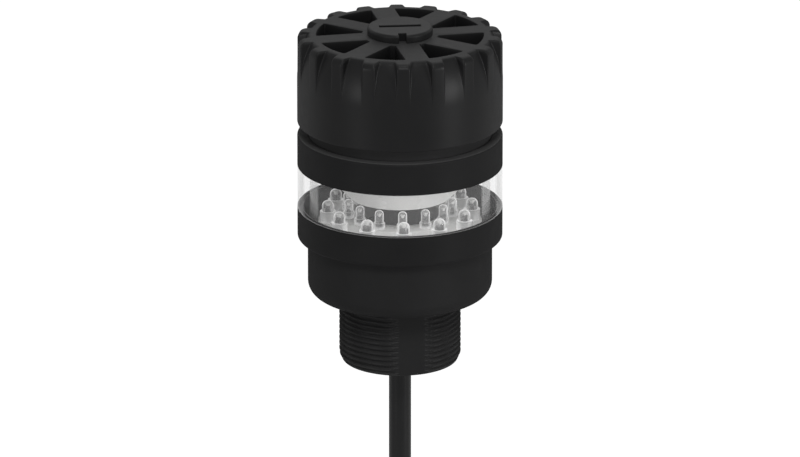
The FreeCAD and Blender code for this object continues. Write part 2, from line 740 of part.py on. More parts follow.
def main():
    """Build every sub-part and write it."""
    save("base_housing", base_housing())
    save("cable_gland", cable_gland())
    save("control_board", control_board())
    save("board_connector", board_connector())
    save("board_screws", board_screws())
    save("base_gasket", base_gasket())
    save("lower_ring", lower_ring())
    save("lens", lens())
    save("upper_ring", upper_ring())
    save("inner_tube", inner_tube())
    save("wire_duct", wire_duct())
    save("led_board", led_board())
    save("led_carrier", led_carrier())
    for index in range(OUTER_LED_COUNT):
        angle = index * 360.0 / OUTER_LED_COUNT - OUTER_LED_START
        save("outer_led_%02d" % (index + 1),
             emitter(OUTER_LED_R, OUTER_LED_HEIGHT, LED_BOARD_TOP_Z, OUTER_LED_PITCH_R, angle))
    for index in range(INNER_LED_COUNT):
        angle = index * 360.0 / INNER_LED_COUNT - INNER_LED_START
        save("inner_led_%02d" % (index + 1),
             emitter(INNER_LED_R, INNER_LED_HEIGHT, CARRIER_TOP_Z, INNER_LED_PITCH_R, angle))
    save("reflector", reflector())
    save("sounder_body", sounder_body())
    save("sounder_board", sounder_board())
    save("sounder_element", sounder_element())
    save("thrust_washer", thrust_washer())
    save("hub_retainer", hub_retainer())
    save("volume_cap", volume_cap())
    save("cable_run", cable_run())
    save("cable_hank", cable_hank())
    save("hank_tie", hank_tie())
    save("cable_leads", cable_leads())


main()
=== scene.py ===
"""Looks of a compact stack light, built round its fixed frame.

Fields are in millimetres where nothing else is said, and meshes in metres. The origin is on the axis,
where the threaded stem meets its shoulder. +Z runs up to the cap, and the front, with the stem's key flat,
is -Y.
"""

import logging
import math
from dataclasses import dataclass, field
from enum import Enum
from typing import Any, Callable, Iterable, Mapping, Optional, Sequence, Union

import bmesh
import bpy
import numpy as np
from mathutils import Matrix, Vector


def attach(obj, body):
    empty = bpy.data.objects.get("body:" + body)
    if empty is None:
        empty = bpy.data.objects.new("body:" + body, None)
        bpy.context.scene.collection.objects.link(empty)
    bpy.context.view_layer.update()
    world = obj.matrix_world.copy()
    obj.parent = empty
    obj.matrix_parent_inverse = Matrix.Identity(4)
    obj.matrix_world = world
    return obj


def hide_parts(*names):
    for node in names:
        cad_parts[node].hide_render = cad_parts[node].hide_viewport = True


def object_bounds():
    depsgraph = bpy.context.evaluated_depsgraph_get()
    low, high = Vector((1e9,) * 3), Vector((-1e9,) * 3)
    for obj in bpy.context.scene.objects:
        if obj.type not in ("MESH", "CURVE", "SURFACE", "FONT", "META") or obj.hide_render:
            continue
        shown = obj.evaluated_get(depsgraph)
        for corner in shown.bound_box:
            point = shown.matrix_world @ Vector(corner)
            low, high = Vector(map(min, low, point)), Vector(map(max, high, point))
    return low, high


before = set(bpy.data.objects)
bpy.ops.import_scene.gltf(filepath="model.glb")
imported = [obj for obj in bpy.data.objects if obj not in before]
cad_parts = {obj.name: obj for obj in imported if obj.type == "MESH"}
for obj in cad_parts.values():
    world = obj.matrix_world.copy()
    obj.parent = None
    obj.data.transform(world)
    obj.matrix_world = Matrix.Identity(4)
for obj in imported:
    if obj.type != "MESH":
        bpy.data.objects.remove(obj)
CAD_BOX = [list(corner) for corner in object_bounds()]

MM = 0.001
# Millimetres: what counts as no length, how near two points are one, how far past an arc its guard point
# is, and the margin by which a cutter or a limit clears what it is for
TINY, SEAM, GUARD, PAST = 1e-6, 2e-4, 0.1, 1.0
# Degrees past which an edge is hard
SHARP = 32.0
LOG = logging.getLogger("stack_light")
Corner = Sequence[float]
Pair = tuple[float, float]
Trio = tuple[float, float, float]
Four = tuple[float, float, float, float]
Colour = Trio


class Body(Enum):
    """The two bodies that the pieces ride on."""

    LIGHT = "light"
    CAP = "cap"


class Lane(Enum):
    """The folded cable's two nested lanes: the radius of their end loops and their control at the waist."""

    INNER = (16.4, 2.2)
    OUTER = (21.9, 4.5)


def linked(name: str, data: bpy.types.ID) -> bpy.types.Object:
    """A new object in the scene."""
    thing = bpy.data.objects.new(name, data)
    bpy.context.scene.collection.objects.link(thing)
    return thing


# Shapes

def unit(vectors: np.ndarray) -> np.ndarray:
    """Vectors scaled to length one; those without a length become zero."""
    length = np.linalg.norm(vectors, axis=-1, keepdims=True)
    return np.divide(vectors, length, out=np.zeros_like(vectors), where=length > TINY)


def rounded(corners: Iterable[Corner], steps: int = 7) -> np.ndarray:
    """Closed outline through corners, each with its own rounding.

    Each corner's arc touches both of its sides. Its centre is on the bisector, at the radius over the sine of
    half the corner's angle, and its points turn evenly from one touching point to the other. One more point
    on each side, just past the arc, keeps the shading of the long flat parts flat.

    Args:
        corners: (across, up) or (across, up, radius) of each corner.
        steps: points of each arc.

    Returns:
        Points of the outline, one row each, with no point twice in a row.
    """
    data = np.array([(*corner, 0.0)[:3] for corner in corners], dtype=float)
    points, radii = data[:, :2], data[:, 2:]
    back = unit(np.roll(points, 1, axis=0) - points)
    ahead = unit(np.roll(points, -1, axis=0) - points)
    half = np.arccos(np.clip((back * ahead).sum(axis=1, keepdims=True), -1, 1)) / 2
    centre = points + unit(back + ahead) * radii / np.sin(half)
    reach = radii / np.tan(half)
    first = points + back * reach - centre
    last = points + ahead * reach - centre
    sweep = np.maximum(math.pi - 2 * half, TINY)
    share = np.linspace(0, 1, steps)[None, :, None]
    early = np.sin((1 - share) * sweep[:, None]) / np.sin(sweep[:, None])
    late = np.sin(share * sweep[:, None]) / np.sin(sweep[:, None])
    arcs = centre[:, None] + early * first[:, None] + late * last[:, None]
    rest = np.minimum(radii * 0.4, GUARD)
    before, after = arcs[:, :1] + (back * rest)[:, None], arcs[:, -1:] + (ahead * rest)[:, None]
    outline = np.concatenate([before, arcs, after], axis=1).reshape(-1, 2)
    apart = np.linalg.norm(outline - np.roll(outline, 1, axis=0), axis=1) > TINY
    return outline[apart]


def divided(outline: np.ndarray, longest: np.ndarray) -> np.ndarray:
    """The same closed outline with its long segments cut into equal parts.

    Args:
        outline: points, one row each.
        longest: the greatest length of a part, for the segment that starts at each point.

    Returns:
        The finer outline.
    """
    step = np.roll(outline, -1, axis=0) - outline
    parts = np.maximum(np.ceil(np.linalg.norm(step, axis=1) / longest).astype(int), 1)
    index = np.repeat(np.arange(len(outline)), parts)
    place = np.arange(len(index)) - np.repeat(np.cumsum(parts) - parts, parts)
    return outline[index] + step[index] * (place / parts[index])[:, None]


def around_axis(radius: np.ndarray, height: np.ndarray, angle: np.ndarray) -> np.ndarray:
    """Points at a radius and height about Z, with the angle counted from the front to the right."""
    radius, height, angle = np.broadcast_arrays(radius, height, angle)
    return np.stack([radius * np.sin(angle), -radius * np.cos(angle), height], axis=-1)


def whole_turn(count: int) -> np.ndarray:
    """Evenly spaced angles of one turn, in radians."""
    return np.arange(count) * 2 * math.pi / count


def turned(points: np.ndarray, angle: float) -> np.ndarray:
    """Points turned about Z by an angle in radians."""
    cos, sin = math.cos(angle), math.sin(angle)
    return points @ np.array([[cos, sin, 0.0], [-sin, cos, 0.0], [0.0, 0.0, 1.0]])


def bent(first: np.ndarray, control: np.ndarray, last: np.ndarray, share: np.ndarray) -> np.ndarray:
    """Points of the parabola between two ends, whose middle control point is given."""
    return (1 - share) ** 2 * first + 2 * share * (1 - share) * control + share ** 2 * last


def pairs(across: Any, up: Any) -> np.ndarray:
    """Points (across, up), one row each, from arrays or single values."""
    return np.stack(np.broadcast_arrays(across, up), axis=1)


def rectangle(across: Pair, deep: Pair, front: float, back: float,
              steps: int) -> np.ndarray:
    """Rounded rectangle in plan, anticlockwise, with one rounding at its least y and one at its greatest."""
    (left, right), (low, high) = across, deep
    return rounded([(left, low, front), (right, low, front), (right, high, back), (left, high, back)], steps)


def smoothed(mesh: bpy.types.Mesh, sharp: float) -> bpy.types.Mesh:
    """Shade a mesh smoothly, with hard edges where faces turn by more than an angle in degrees."""
    mesh.polygons.foreach_set("use_smooth", np.ones(len(mesh.polygons), dtype=bool))
    mesh.set_sharp_from_angle(angle=math.radians(sharp))
    mesh.update()
    return mesh


@dataclass
class Shell:
    """Points in millimetres, and the faces that join them."""

    points: np.ndarray
    faces: list[list[int]]

    @classmethod
    def woven(cls, grid: np.ndarray, loop_rows: bool = False, capped: bool = False) -> "Shell":
        """Quads over a grid of points, whose last column is joined to its first.

        Each quad joins a point with its neighbours one row and one column on.

        Args:
            grid: points, as (rows, columns, 3).
            loop_rows: join the last row to the first.
            capped: close the first and the last row with a flat face.

        Returns:
            The shell.
        """
        rows, columns = grid.shape[:2]
        index = np.arange(rows * columns).reshape(rows, columns)
        if loop_rows:
            index = np.vstack([index, index[:1]])
        index = np.hstack([index, index[:, :1]])
        quads = np.stack([index[:-1, :-1], index[:-1, 1:], index[1:, 1:], index[1:, :-1]], axis=-1)
        faces = quads.reshape(-1, 4).tolist()
        if capped:
            faces += [index[0, :columns][::-1].tolist(), index[-1, :columns].tolist()]
        return cls(grid.reshape(-1, 3), faces)

    @classmethod
    def spun(cls, corners: Iterable[Corner], count: int = 160, steps: int = 7) -> "Shell":
        """A solid of revolution from (radius, height) or (radius, height, rounding) corners.

        An outline that starts and ends on the axis stays open there, and its poles close by merging.
        """
        outline = rounded(corners, steps)
        on_axis = outline[0, 0] < TINY and outline[-1, 0] < TINY
        grid = around_axis(outline[:, :1], outline[:, 1:], whole_turn(count))
        return cls.woven(grid, loop_rows=not on_axis)

    @classmethod
    def upright(cls, outline: np.ndarray, levels: Sequence[Pair]) -> "Shell":
        """A closed prism over a plan outline, grown outwards by its own amount at each level.

        Each point moves along the mean of the normals of its two sides.

        Args:
            outline: plan points (x, y), anticlockwise.
            levels: (height, growth) from the lowest to the highest.

        Returns:
            The shell.
        """
        side = unit(np.roll(outline, -1, axis=0) - outline)
        normal = np.stack([side[:, 1], -side[:, 0]], axis=1)
        mean = normal + np.roll(normal, 1, axis=0)
        mean /= (mean * normal).sum(axis=1, keepdims=True)
        heights, growths = np.array(levels).T
        plan = outline[None] + growths[:, None, None] * mean[None]
        height = np.broadcast_to(heights[:, None, None], (*plan.shape[:2], 1))
        return cls.woven(np.concatenate([plan, height], axis=2), capped=True)

    @classmethod
    def swept(cls, path: np.ndarray, radius: float, sides: int = 14) -> "Shell":
        """A closed tube along a path, with a circle square to the path at each of its points."""
        along = unit(np.gradient(path, axis=0))
        across = unit(np.cross(along, [0.0, 1.0, 0.0]))
        over = np.cross(along, across)
        angle = whole_turn(sides)[None, :, None]
        ring = across[:, None] * np.cos(angle) + over[:, None] * np.sin(angle)
        return cls.woven(path[:, None] + ring * radius, capped=True)

    def __add__(self, other: "Shell") -> "Shell":
        """Both shells as one."""
        offset = len(self.points)
        more = [[index + offset for index in face] for face in other.faces]
        return Shell(np.vstack([self.points, other.points]), self.faces + more)

    def copies(self, count: int, start: float = 0.0) -> "Shell":
        """Copies of the shell, evenly spaced about Z, from a start angle in degrees."""
        angles = [math.radians(start) + index * 2 * math.pi / count for index in range(count)]
        return sum((Shell(turned(self.points, angle), self.faces) for angle in angles), NOTHING)

    def moved(self, x: float = 0.0, y: float = 0.0) -> "Shell":
        """The shell moved along X and Y."""
        return Shell(self.points + np.array([x, y, 0.0]), self.faces)

    def mesh(self, name: str, sharp: float = SHARP) -> bpy.types.Mesh:
        """The mesh in metres: seams closed, no loose edges, faces outwards, hard edges past an angle."""
        mesh = bpy.data.meshes.new(name)
        mesh.from_pydata(self.points * MM, [], self.faces)
        bm = bmesh.new()
        bm.from_mesh(mesh)
        bmesh.ops.remove_doubles(bm, verts=bm.verts[:], dist=SEAM * MM)
        loose = [edge for edge in bm.edges if not edge.link_faces]
        bmesh.ops.delete(bm, geom=loose, context="EDGES")
        if bm.calc_volume(signed=True) < 0:
            bmesh.ops.reverse_faces(bm, faces=bm.faces[:])
        bm.to_mesh(mesh)
        bm.free()
        return smoothed(mesh, sharp)


NOTHING = Shell(np.zeros((0, 3)), [])


def carved(mesh: bpy.types.Mesh, cutter: bpy.types.Mesh) -> bpy.types.Mesh:
    """The first mesh, under its own name, less the closed shells of the second."""
    name, whole, tool = mesh.name, linked("blank", mesh), linked("cutter", cutter)
    cut = whole.modifiers.new("cut", "BOOLEAN")
    cut.operation, cut.solver, cut.object = "DIFFERENCE", "EXACT", tool
    evaluated = whole.evaluated_get(bpy.context.evaluated_depsgraph_get())
    result = bpy.data.meshes.new_from_object(evaluated)
    for obj, data in ((whole, mesh), (tool, cutter)):
        bpy.data.objects.remove(obj)
        bpy.data.meshes.remove(data)
    result.name = name
    return smoothed(result, SHARP)


# Materials

def math_method(operation: str, swapped: bool = False) -> Callable[["Term", "Value"], "Term"]:
    """A method of Term that adds a Math node, with its inputs swapped where the term is on the right."""
    def method(self: "Term", other: "Value") -> "Term":
        """Result of the operation."""
        inputs = (other, self) if swapped else (self, other)
        return self.bench.node("Math", dict(enumerate(inputs)), operation=operation)
    return method


class Term:
    """A node's socket as a term in arithmetic: each operation on values adds its Math node."""

    __add__ = __radd__ = math_method("ADD")
    __sub__ = math_method("SUBTRACT")
    __rsub__ = math_method("SUBTRACT", swapped=True)
    __mul__ = __rmul__ = math_method("MULTIPLY")
    __pow__ = math_method("POWER")
    at_most = math_method("MINIMUM")

    def __init__(self, bench: "Bench", socket: bpy.types.NodeSocket) -> None:
        """Hold a socket and the bench that it lies on."""
        self.bench = bench
        self.socket = socket

    def part(self, axis: int) -> "Term":
        """One coordinate of a vector."""
        return self.bench.node("SeparateXYZ", {0: self}, axis)

    def wave(self, period: float) -> "Term":
        """Sine of a length in metres, which repeats over a period in millimetres."""
        return self.bench.node("Math", {0: self * (2 * math.pi / (period * MM))}, operation="SINE")


Value = Union[Term, float]


class Bench:
    """The node tree of one material, floor or world."""

    def __init__(self, tree: bpy.types.NodeTree) -> None:
        """Start with an empty tree."""
        self.tree = tree
        tree.nodes.clear()

    def node(self, kind: str, sockets: Optional[Mapping[Any, Any]] = None, output: Union[int, str] = 0,
             **settings: Any) -> Optional[Term]:
        """Add a node.

        Args:
            kind: its type, without the word ShaderNode.
            sockets: values or terms for its inputs, by name or number.
            output: which of its outputs is wanted.
            settings: the node's own settings, set first.

        Returns:
            That output, or nothing where the node has none.
        """
        node = self.tree.nodes.new("ShaderNode" + kind)
        for key, value in settings.items():
            setattr(node, key, value)
        for key, value in (sockets or {}).items():
            if isinstance(value, Term):
                self.tree.links.new(value.socket, node.inputs[key])
            else:
                node.inputs[key].default_value = value
        return Term(self, node.outputs[output]) if node.outputs else None

    def place(self) -> Term:
        """Object coordinates, in metres."""
        return self.node("TexCoord", output="Object")

    def off_axis(self) -> Term:
        """Distance from the Z axis, in metres."""
        where = self.place()
        return (where.part(0) ** 2.0 + where.part(1) ** 2.0) ** 0.5

    def noise(self, size: float, detail: float = 2.0, stretch: Sequence[float] = (1, 1, 1)) -> Term:
        """Noise from 0 to 1, in patches of a size in millimetres, longer along an axis of less stretch."""
        where = self.node("Mapping", {"Vector": self.place(), "Scale": stretch})
        return self.node("TexNoise", {"Vector": where, "Scale": 1 / (size * MM), "Detail": detail})

    def mixed(self, share: Value, first: Union[Term, Colour], second: Union[Term, Colour]) -> Term:
        """Colour between two, by a share from 0 to 1."""
        ends = [end if isinstance(end, Term) else (*end, 1.0) for end in (first, second)]
        return self.node("Mix", {0: share, 6: ends[0], 7: ends[1]}, 2, data_type="RGBA")

    def bump(self, height: Value, depth: float, strength: float = 0.5) -> Term:
        """Normal from a height that goes from 0 to 1 over a depth in millimetres."""
        return self.node("Bump", {"Height": height, "Distance": depth * MM, "Strength": strength}, "Normal")

    def band(self, value: Term, low: float, high: float) -> Term:
        """A value stretched from low and high to 0 and 1, and kept there."""
        return self.node("MapRange", {"Value": value, "From Min": low, "From Max": high}, clamp=True)

    def facing(self) -> Term:
        """0 where a surface is seen squarely, rising to 1 where it is seen edge-on."""
        return self.node("LayerWeight", {"Blend": 0.5}, "Facing")

    def rim(self) -> Term:
        """The facing weight squared, so that it rises late."""
        facing = self.facing()
        return facing * facing

    def principled(self, sockets: Mapping[str, Any]) -> Term:
        """Principled shader."""
        return self.node("BsdfPrincipled", sockets)

    def surface(self, shader: Term, world: bool = False) -> None:
        """End the tree in its output."""
        self.node("OutputWorld" if world else "OutputMaterial", {"Surface": shader})


def material_of(name: str, shade: Callable[[Bench], Term]) -> bpy.types.Material:
    """The material of a name, made at its first use with the shader that a function lays on its bench."""
    material = bpy.data.materials.get(name)
    if material is None:
        material = bpy.data.materials.new(name)
        material.use_nodes = True
        bench = Bench(material.node_tree)
        bench.surface(shade(bench))
    return material


@dataclass(frozen=True)
class Finish:
    """A finish: its name, from which its material is named, its colour and roughness."""

    name: str
    colour: Colour
    roughness: float

    def tone(self, factor: float = 1.0, more: float = 0.0) -> Colour:
        """The colour, with each channel scaled and then raised."""
        return tuple(channel * factor + more for channel in self.colour)

    def material(self) -> bpy.types.Material:
        """The finish's own material."""
        return material_of(self.name + "_look", self.shader)

    def shader(self, bench: Bench) -> Term:
        """The finish's shader; each kind of finish gives its own."""
        raise NotImplementedError


@dataclass(frozen=True)
class Moulding(Finish):
    """Moulded plastic: a fine grain, faint mottling, uneven gloss, and painted light that makes what faces up
    lighter.

    On a thread, whose reach is the radius just past its crest in millimetres, painted light makes both flanks
    lighter, against the shade in the thread's grooves.
    """

    specular: float = 0.25
    grain: float = 0.22
    relief: float = 0.012
    cloud: float = 9.0
    mottle: float = 0.25
    patch: float = 2.4
    spread: float = 0.10
    matt_rim: float = 0.5
    # Painted light: how much lighter faces that point up are made, as if lit more from above
    dust: float = 0.0
    # Painted light: how much lighter a thread's flanks are made, against the shade in its grooves
    thread_dust: float = 0.0
    thread_reach: float = 15.2
    thread_fade: float = 0.2
    upward: Pair = (0.8, 1.0)
    flank: Pair = (0.0, 0.1)
    cloud_share: float = 0.7
    film: Pair = (0.8, 0.4)
    strength: float = 0.6

    def shader(self, bench: Bench) -> Term:
        """Principled shader with grain, mottling and uneven gloss."""
        cloud = bench.noise(self.cloud, detail=3.0)
        fine = bench.noise(self.grain)
        share = cloud * self.cloud_share + fine * (1 - self.cloud_share)
        colour = bench.mixed(share, self.tone(1 - self.mottle), self.tone(1 + self.mottle))
        level = bench.node("NewGeometry", output="Normal").part(2)
        # Painted light: the thread's flanks, but not the key flat, are made lighter, against the shade in the
        # grooves
        if self.thread_dust:
            flank = bench.band(level * level, *self.flank)
            reach = self.thread_reach * MM
            inside = 1.0 - bench.band(bench.off_axis(), reach, reach + self.thread_fade * MM)
            colour = bench.mixed(flank * inside, colour, self.tone(more=self.thread_dust))
        # Painted light: faces that point up are made lighter, as if lit more from above, unevenly by the
        # cloud noise
        if self.dust:
            film = bench.band(level, *self.upward) * (self.film[0] + cloud * self.film[1])
            colour = bench.mixed(film, colour, self.tone(more=self.dust))
        uneven = (bench.noise(self.patch, detail=4.0) - 0.5) * self.spread
        return bench.principled({
            "Base Color": colour,
            "Roughness": self.roughness + uneven + bench.rim() * self.matt_rim,
            "Specular IOR Level": self.specular,
            "Normal": bench.bump(fine, self.relief, self.strength),
        })


@dataclass(frozen=True)
class Glazing(Finish):
    """Clear wall: it dims what is behind it a little, and more where it is seen through the wall's length.

    Only what lies further than skin from the axis, in millimetres, dims more. Below root_top, a height in
    millimetres, it is denser by root. The glow is painted light: an emission that stands for the light that a
    solid clear body gathers from all round.
    """

    veil: float = 0.08
    slant: float = 0.8
    wall: Pair = (0.5, 1.0)
    skin: float = 0.0
    skin_edge: float = 0.1
    root: float = 0.0
    root_top: float = 0.0
    root_fade: float = 0.5
    glow: float = 0.0
    haze: float = 3.0
    haze_tone: float = 0.97
    smear: Pair = (0.8, 0.4)

    def shader(self, bench: Bench) -> Term:
        """Principled shader whose alpha rises between two facing weights."""
        length = bench.band(bench.facing(), *self.wall)
        if self.skin:
            ends = (self.skin - self.skin_edge) * MM, (self.skin + self.skin_edge) * MM
            length = length * bench.band(bench.off_axis(), *ends)
        alpha = self.veil
        if self.root:
            ends = (self.root_top - self.root_fade) * MM, self.root_top * MM
            high = bench.band(bench.place().part(2), *ends)
            alpha = self.veil + self.root - high * self.root
        haze = bench.noise(self.haze)
        return bench.principled({
            "Base Color": bench.mixed(haze, self.colour, self.tone(self.haze_tone)),
            "Roughness": self.roughness * (self.smear[0] + haze * self.smear[1]),
            "Alpha": (alpha + length * self.slant).at_most(1.0),
            # Painted light: the glow, an emission on a part that is not lit
            "Emission Color": (*self.colour, 1.0),
            "Emission Strength": self.glow,
        })


@dataclass(frozen=True)
class Metal(Finish):
    """Bare metal with fine drawn lines."""

    grain: float = 0.08
    relief: float = 0.004
    stretch: Trio = (1, 1, 0.1)
    dark: float = 0.85
    spread: float = 0.12

    def shader(self, bench: Bench) -> Term:
        """Principled metal with streaks along Z."""
        streak = bench.noise(self.grain, 3.0, self.stretch)
        return bench.principled({
            "Base Color": bench.mixed(streak, self.colour, self.tone(self.dark)),
            "Metallic": 1.0,
            "Roughness": self.roughness + (streak - 0.5) * self.spread,
            "Normal": bench.bump(streak, self.relief),
        })


@dataclass(frozen=True)
class Laminate(Finish):
    """Circuit board: lacquer over a faint glass weave and copper tracks."""

    tracks: float = 0.35
    track_size: float = 2.2
    track_edge: Pair = (0.52, 0.55)
    track_shade: float = 0.8
    track_relief: float = 0.7
    track_roughness: float = 0.08
    weave: float = 0.6
    relief: float = 0.02

    def shader(self, bench: Bench) -> Term:
        """Principled shader with a woven relief and tracks that show through the lacquer."""
        where = bench.place()
        weave = where.part(0).wave(self.weave) * where.part(1).wave(self.weave) * 0.5 + 0.5
        track = bench.band(bench.noise(self.track_size, 0.0), *self.track_edge)
        shares = (self.track_shade, self.track_relief)
        shade, height = (track * share + weave * (1 - share) for share in shares)
        return bench.principled({
            "Base Color": bench.mixed(shade, self.tone(1 - self.tracks), self.colour),
            "Roughness": self.roughness + track * self.track_roughness,
            "Normal": bench.bump(height, self.relief),
        })


@dataclass(frozen=True)
class Jacket(Finish):
    """Extruded cable jacket: drawn lines along Z and a satin skin."""

    specular: float = 0.35
    line: float = 0.5
    stretch: Trio = (1, 1, 0.06)
    line_tone: float = 1.5
    line_relief: float = 0.6
    grain: float = 0.16
    relief: float = 0.012
    spread: float = 0.12
    matt_rim: float = 0.5

    def shader(self, bench: Bench) -> Term:
        """Principled shader with fine lines along the run."""
        line = bench.noise(self.line, 3.0, self.stretch)
        skin = bench.noise(self.grain)
        return bench.principled({
            "Base Color": bench.mixed(line, self.colour, self.tone(self.line_tone)),
            "Roughness": self.roughness + (line - 0.5) * self.spread + bench.rim() * self.matt_rim,
            "Specular IOR Level": self.specular,
            "Normal": bench.bump(skin * (1 - self.line_relief) + line * self.line_relief, self.relief),
        })


def grey(level: float, blue: float = 0.0) -> Colour:
    """A grey, with a little more or less blue."""
    return (level, level, level + blue)


@dataclass(frozen=True)
class Finishes:
    """Every finish on the object."""

    # The housing gets painted light: its thread's flanks are made lighter, against the shade in the grooves
    housing: Finish = Moulding("housing_plastic", grey(0.0122, 0.0002), 0.55, specular=0.035,
                               thread_dust=0.012)
    # The rings, cap and hub get painted light: faces that point up are made lighter, as if lit more from
    # above
    rings: Finish = Moulding("ring_plastic", grey(0.0092, 0.0002), 0.47, specular=0.035, dust=0.045)
    # Painted light: the drum's black is lighter than the other mouldings', so that its neck, in the shade
    # under the cap, shows lighter
    drum: Finish = Moulding("drum_plastic", grey(0.018, 0.0002), 0.5, specular=0.03)
    cap: Finish = Moulding("cap_plastic", grey(0.0074, 0.0002), 0.36, specular=0.07, dust=0.016)
    hub: Finish = Moulding("hub_plastic", grey(0.0095, 0.0002), 0.38, specular=0.07, dust=0.021)
    duct: Finish = Moulding("duct_plastic", grey(0.011), 0.7, specular=0.06)
    sounder: Finish = Moulding("sounder_plastic", grey(0.006), 0.3, specular=0.4)
    socket: Finish = Moulding("connector_plastic", (0.75, 0.72, 0.62), 0.5, specular=0.4, mottle=0.05)
    rubber: Finish = Moulding("gland_rubber", grey(0.008), 0.8, specular=0.15, grain=0.4)
    lens: Finish = Glazing("lens_plastic", grey(0.5), 0.12, veil=0.065, slant=0.23, wall=(0.64, 0.7),
                           skin=24.5)
    tube: Finish = Glazing("tube_plastic", grey(0.7), 0.15, veil=0.02, slant=0.28, wall=(0.58, 0.62),
                           skin=21.0)
    # Painted light: the emitters are a near-white shell, densest where seen edge-on, with a glow; together
    # they stand for the light that the clear bodies refract and gather
    epoxy: Finish = Glazing("led_plastic", grey(0.95), 0.06, veil=0.14, slant=0.9, wall=(0.25, 0.7), root=0.4,
                            root_top=21.4, glow=0.14)
    anvil: Finish = Metal("anvil", grey(0.22), 0.5)
    white: Finish = Moulding("white_plastic", grey(0.74, -0.01), 0.5, specular=0.4, mottle=0.02)
    white_board: Finish = Moulding("white_board", grey(0.76, -0.01), 0.35, specular=0.5, mottle=0.02)
    reflector: Finish = Moulding("reflector_plastic", grey(0.8, -0.01), 0.12, specular=0.5, mottle=0.015,
                                 spread=0.05)
    board: Finish = Laminate("circuit_board", (0.03, 0.16, 0.07), 0.35)
    steel: Finish = Metal("steel", grey(0.55, -0.01), 0.3)
    silver: Finish = Metal("silvered", grey(0.93, -0.01), 0.4)
    jacket: Finish = Jacket("cable_jacket", grey(0.0066, 0.0002), 0.3, specular=0.1)
    tie: Finish = Moulding("tie_plastic", grey(0.012), 0.4, specular=0.4)


LEAD_COLOURS: dict[str, Colour] = {
    "brown": (0.16, 0.055, 0.02),
    "blue": (0.02, 0.08, 0.32),
    "white": (0.62, 0.62, 0.6),
    "yellow": (0.62, 0.42, 0.03),
}


# Sub-assemblies

@dataclass
class SubAssembly:
    """Pieces that are made and dressed together."""

    finishes: Finishes
    pieces: dict[str, tuple[bpy.types.Object, Finish]] = field(default_factory=dict, init=False)

    def add(self, name: str, data: bpy.types.ID, finish: Finish, replaces: Sequence[str] = (),
            body: Body = Body.LIGHT, slot: str = "") -> bpy.types.Object:
        """Place a piece on its body. A clear piece casts no shadow, so that the lamps light what is in it.

        Args:
            name: the piece's name.
            data: its mesh or curve.
            finish: what it is dressed in.
            replaces: frame nodes that it stands for.
            body: the body that it rides on.
            slot: not used.

        Returns:
            The piece.
        """
        piece = linked(name, data)
        piece.visible_shadow = not isinstance(finish, Glazing)
        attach(piece, body.value)
        if replaces:
            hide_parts(*replaces)
        self.pieces[name] = (piece, finish)
        size = len(data.polygons) if isinstance(data, bpy.types.Mesh) else len(data.splines)
        LOG.info("%s: %d faces or splines, for %s", name, size, ", ".join(replaces) or "no node")
        return piece

    def cover(self, node: str, mesh: bpy.types.Mesh, finish: Finish, body: Body = Body.LIGHT) -> None:
        """Add the dressed piece that stands for one frame node."""
        self.add(node + "_dressed", mesh, finish, (node,), body)

    def keep(self, **finishes: Finish) -> None:
        """Keep the own shapes of frame nodes, and dress each in its finish."""
        for node, finish in finishes.items():
            self.pieces[node] = (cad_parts[node], finish)
            LOG.info("%s: the frame's own shape", node)

    def build(self) -> None:
        """Make the pieces; each sub-assembly makes its own."""
        raise NotImplementedError

    def dress(self) -> None:
        """Give each piece its material, in place of any that it has."""
        for piece, finish in self.pieces.values():
            if not piece.material_slots:
                piece.data.materials.append(None)
            for place in piece.material_slots:
                place.material = finish.material()


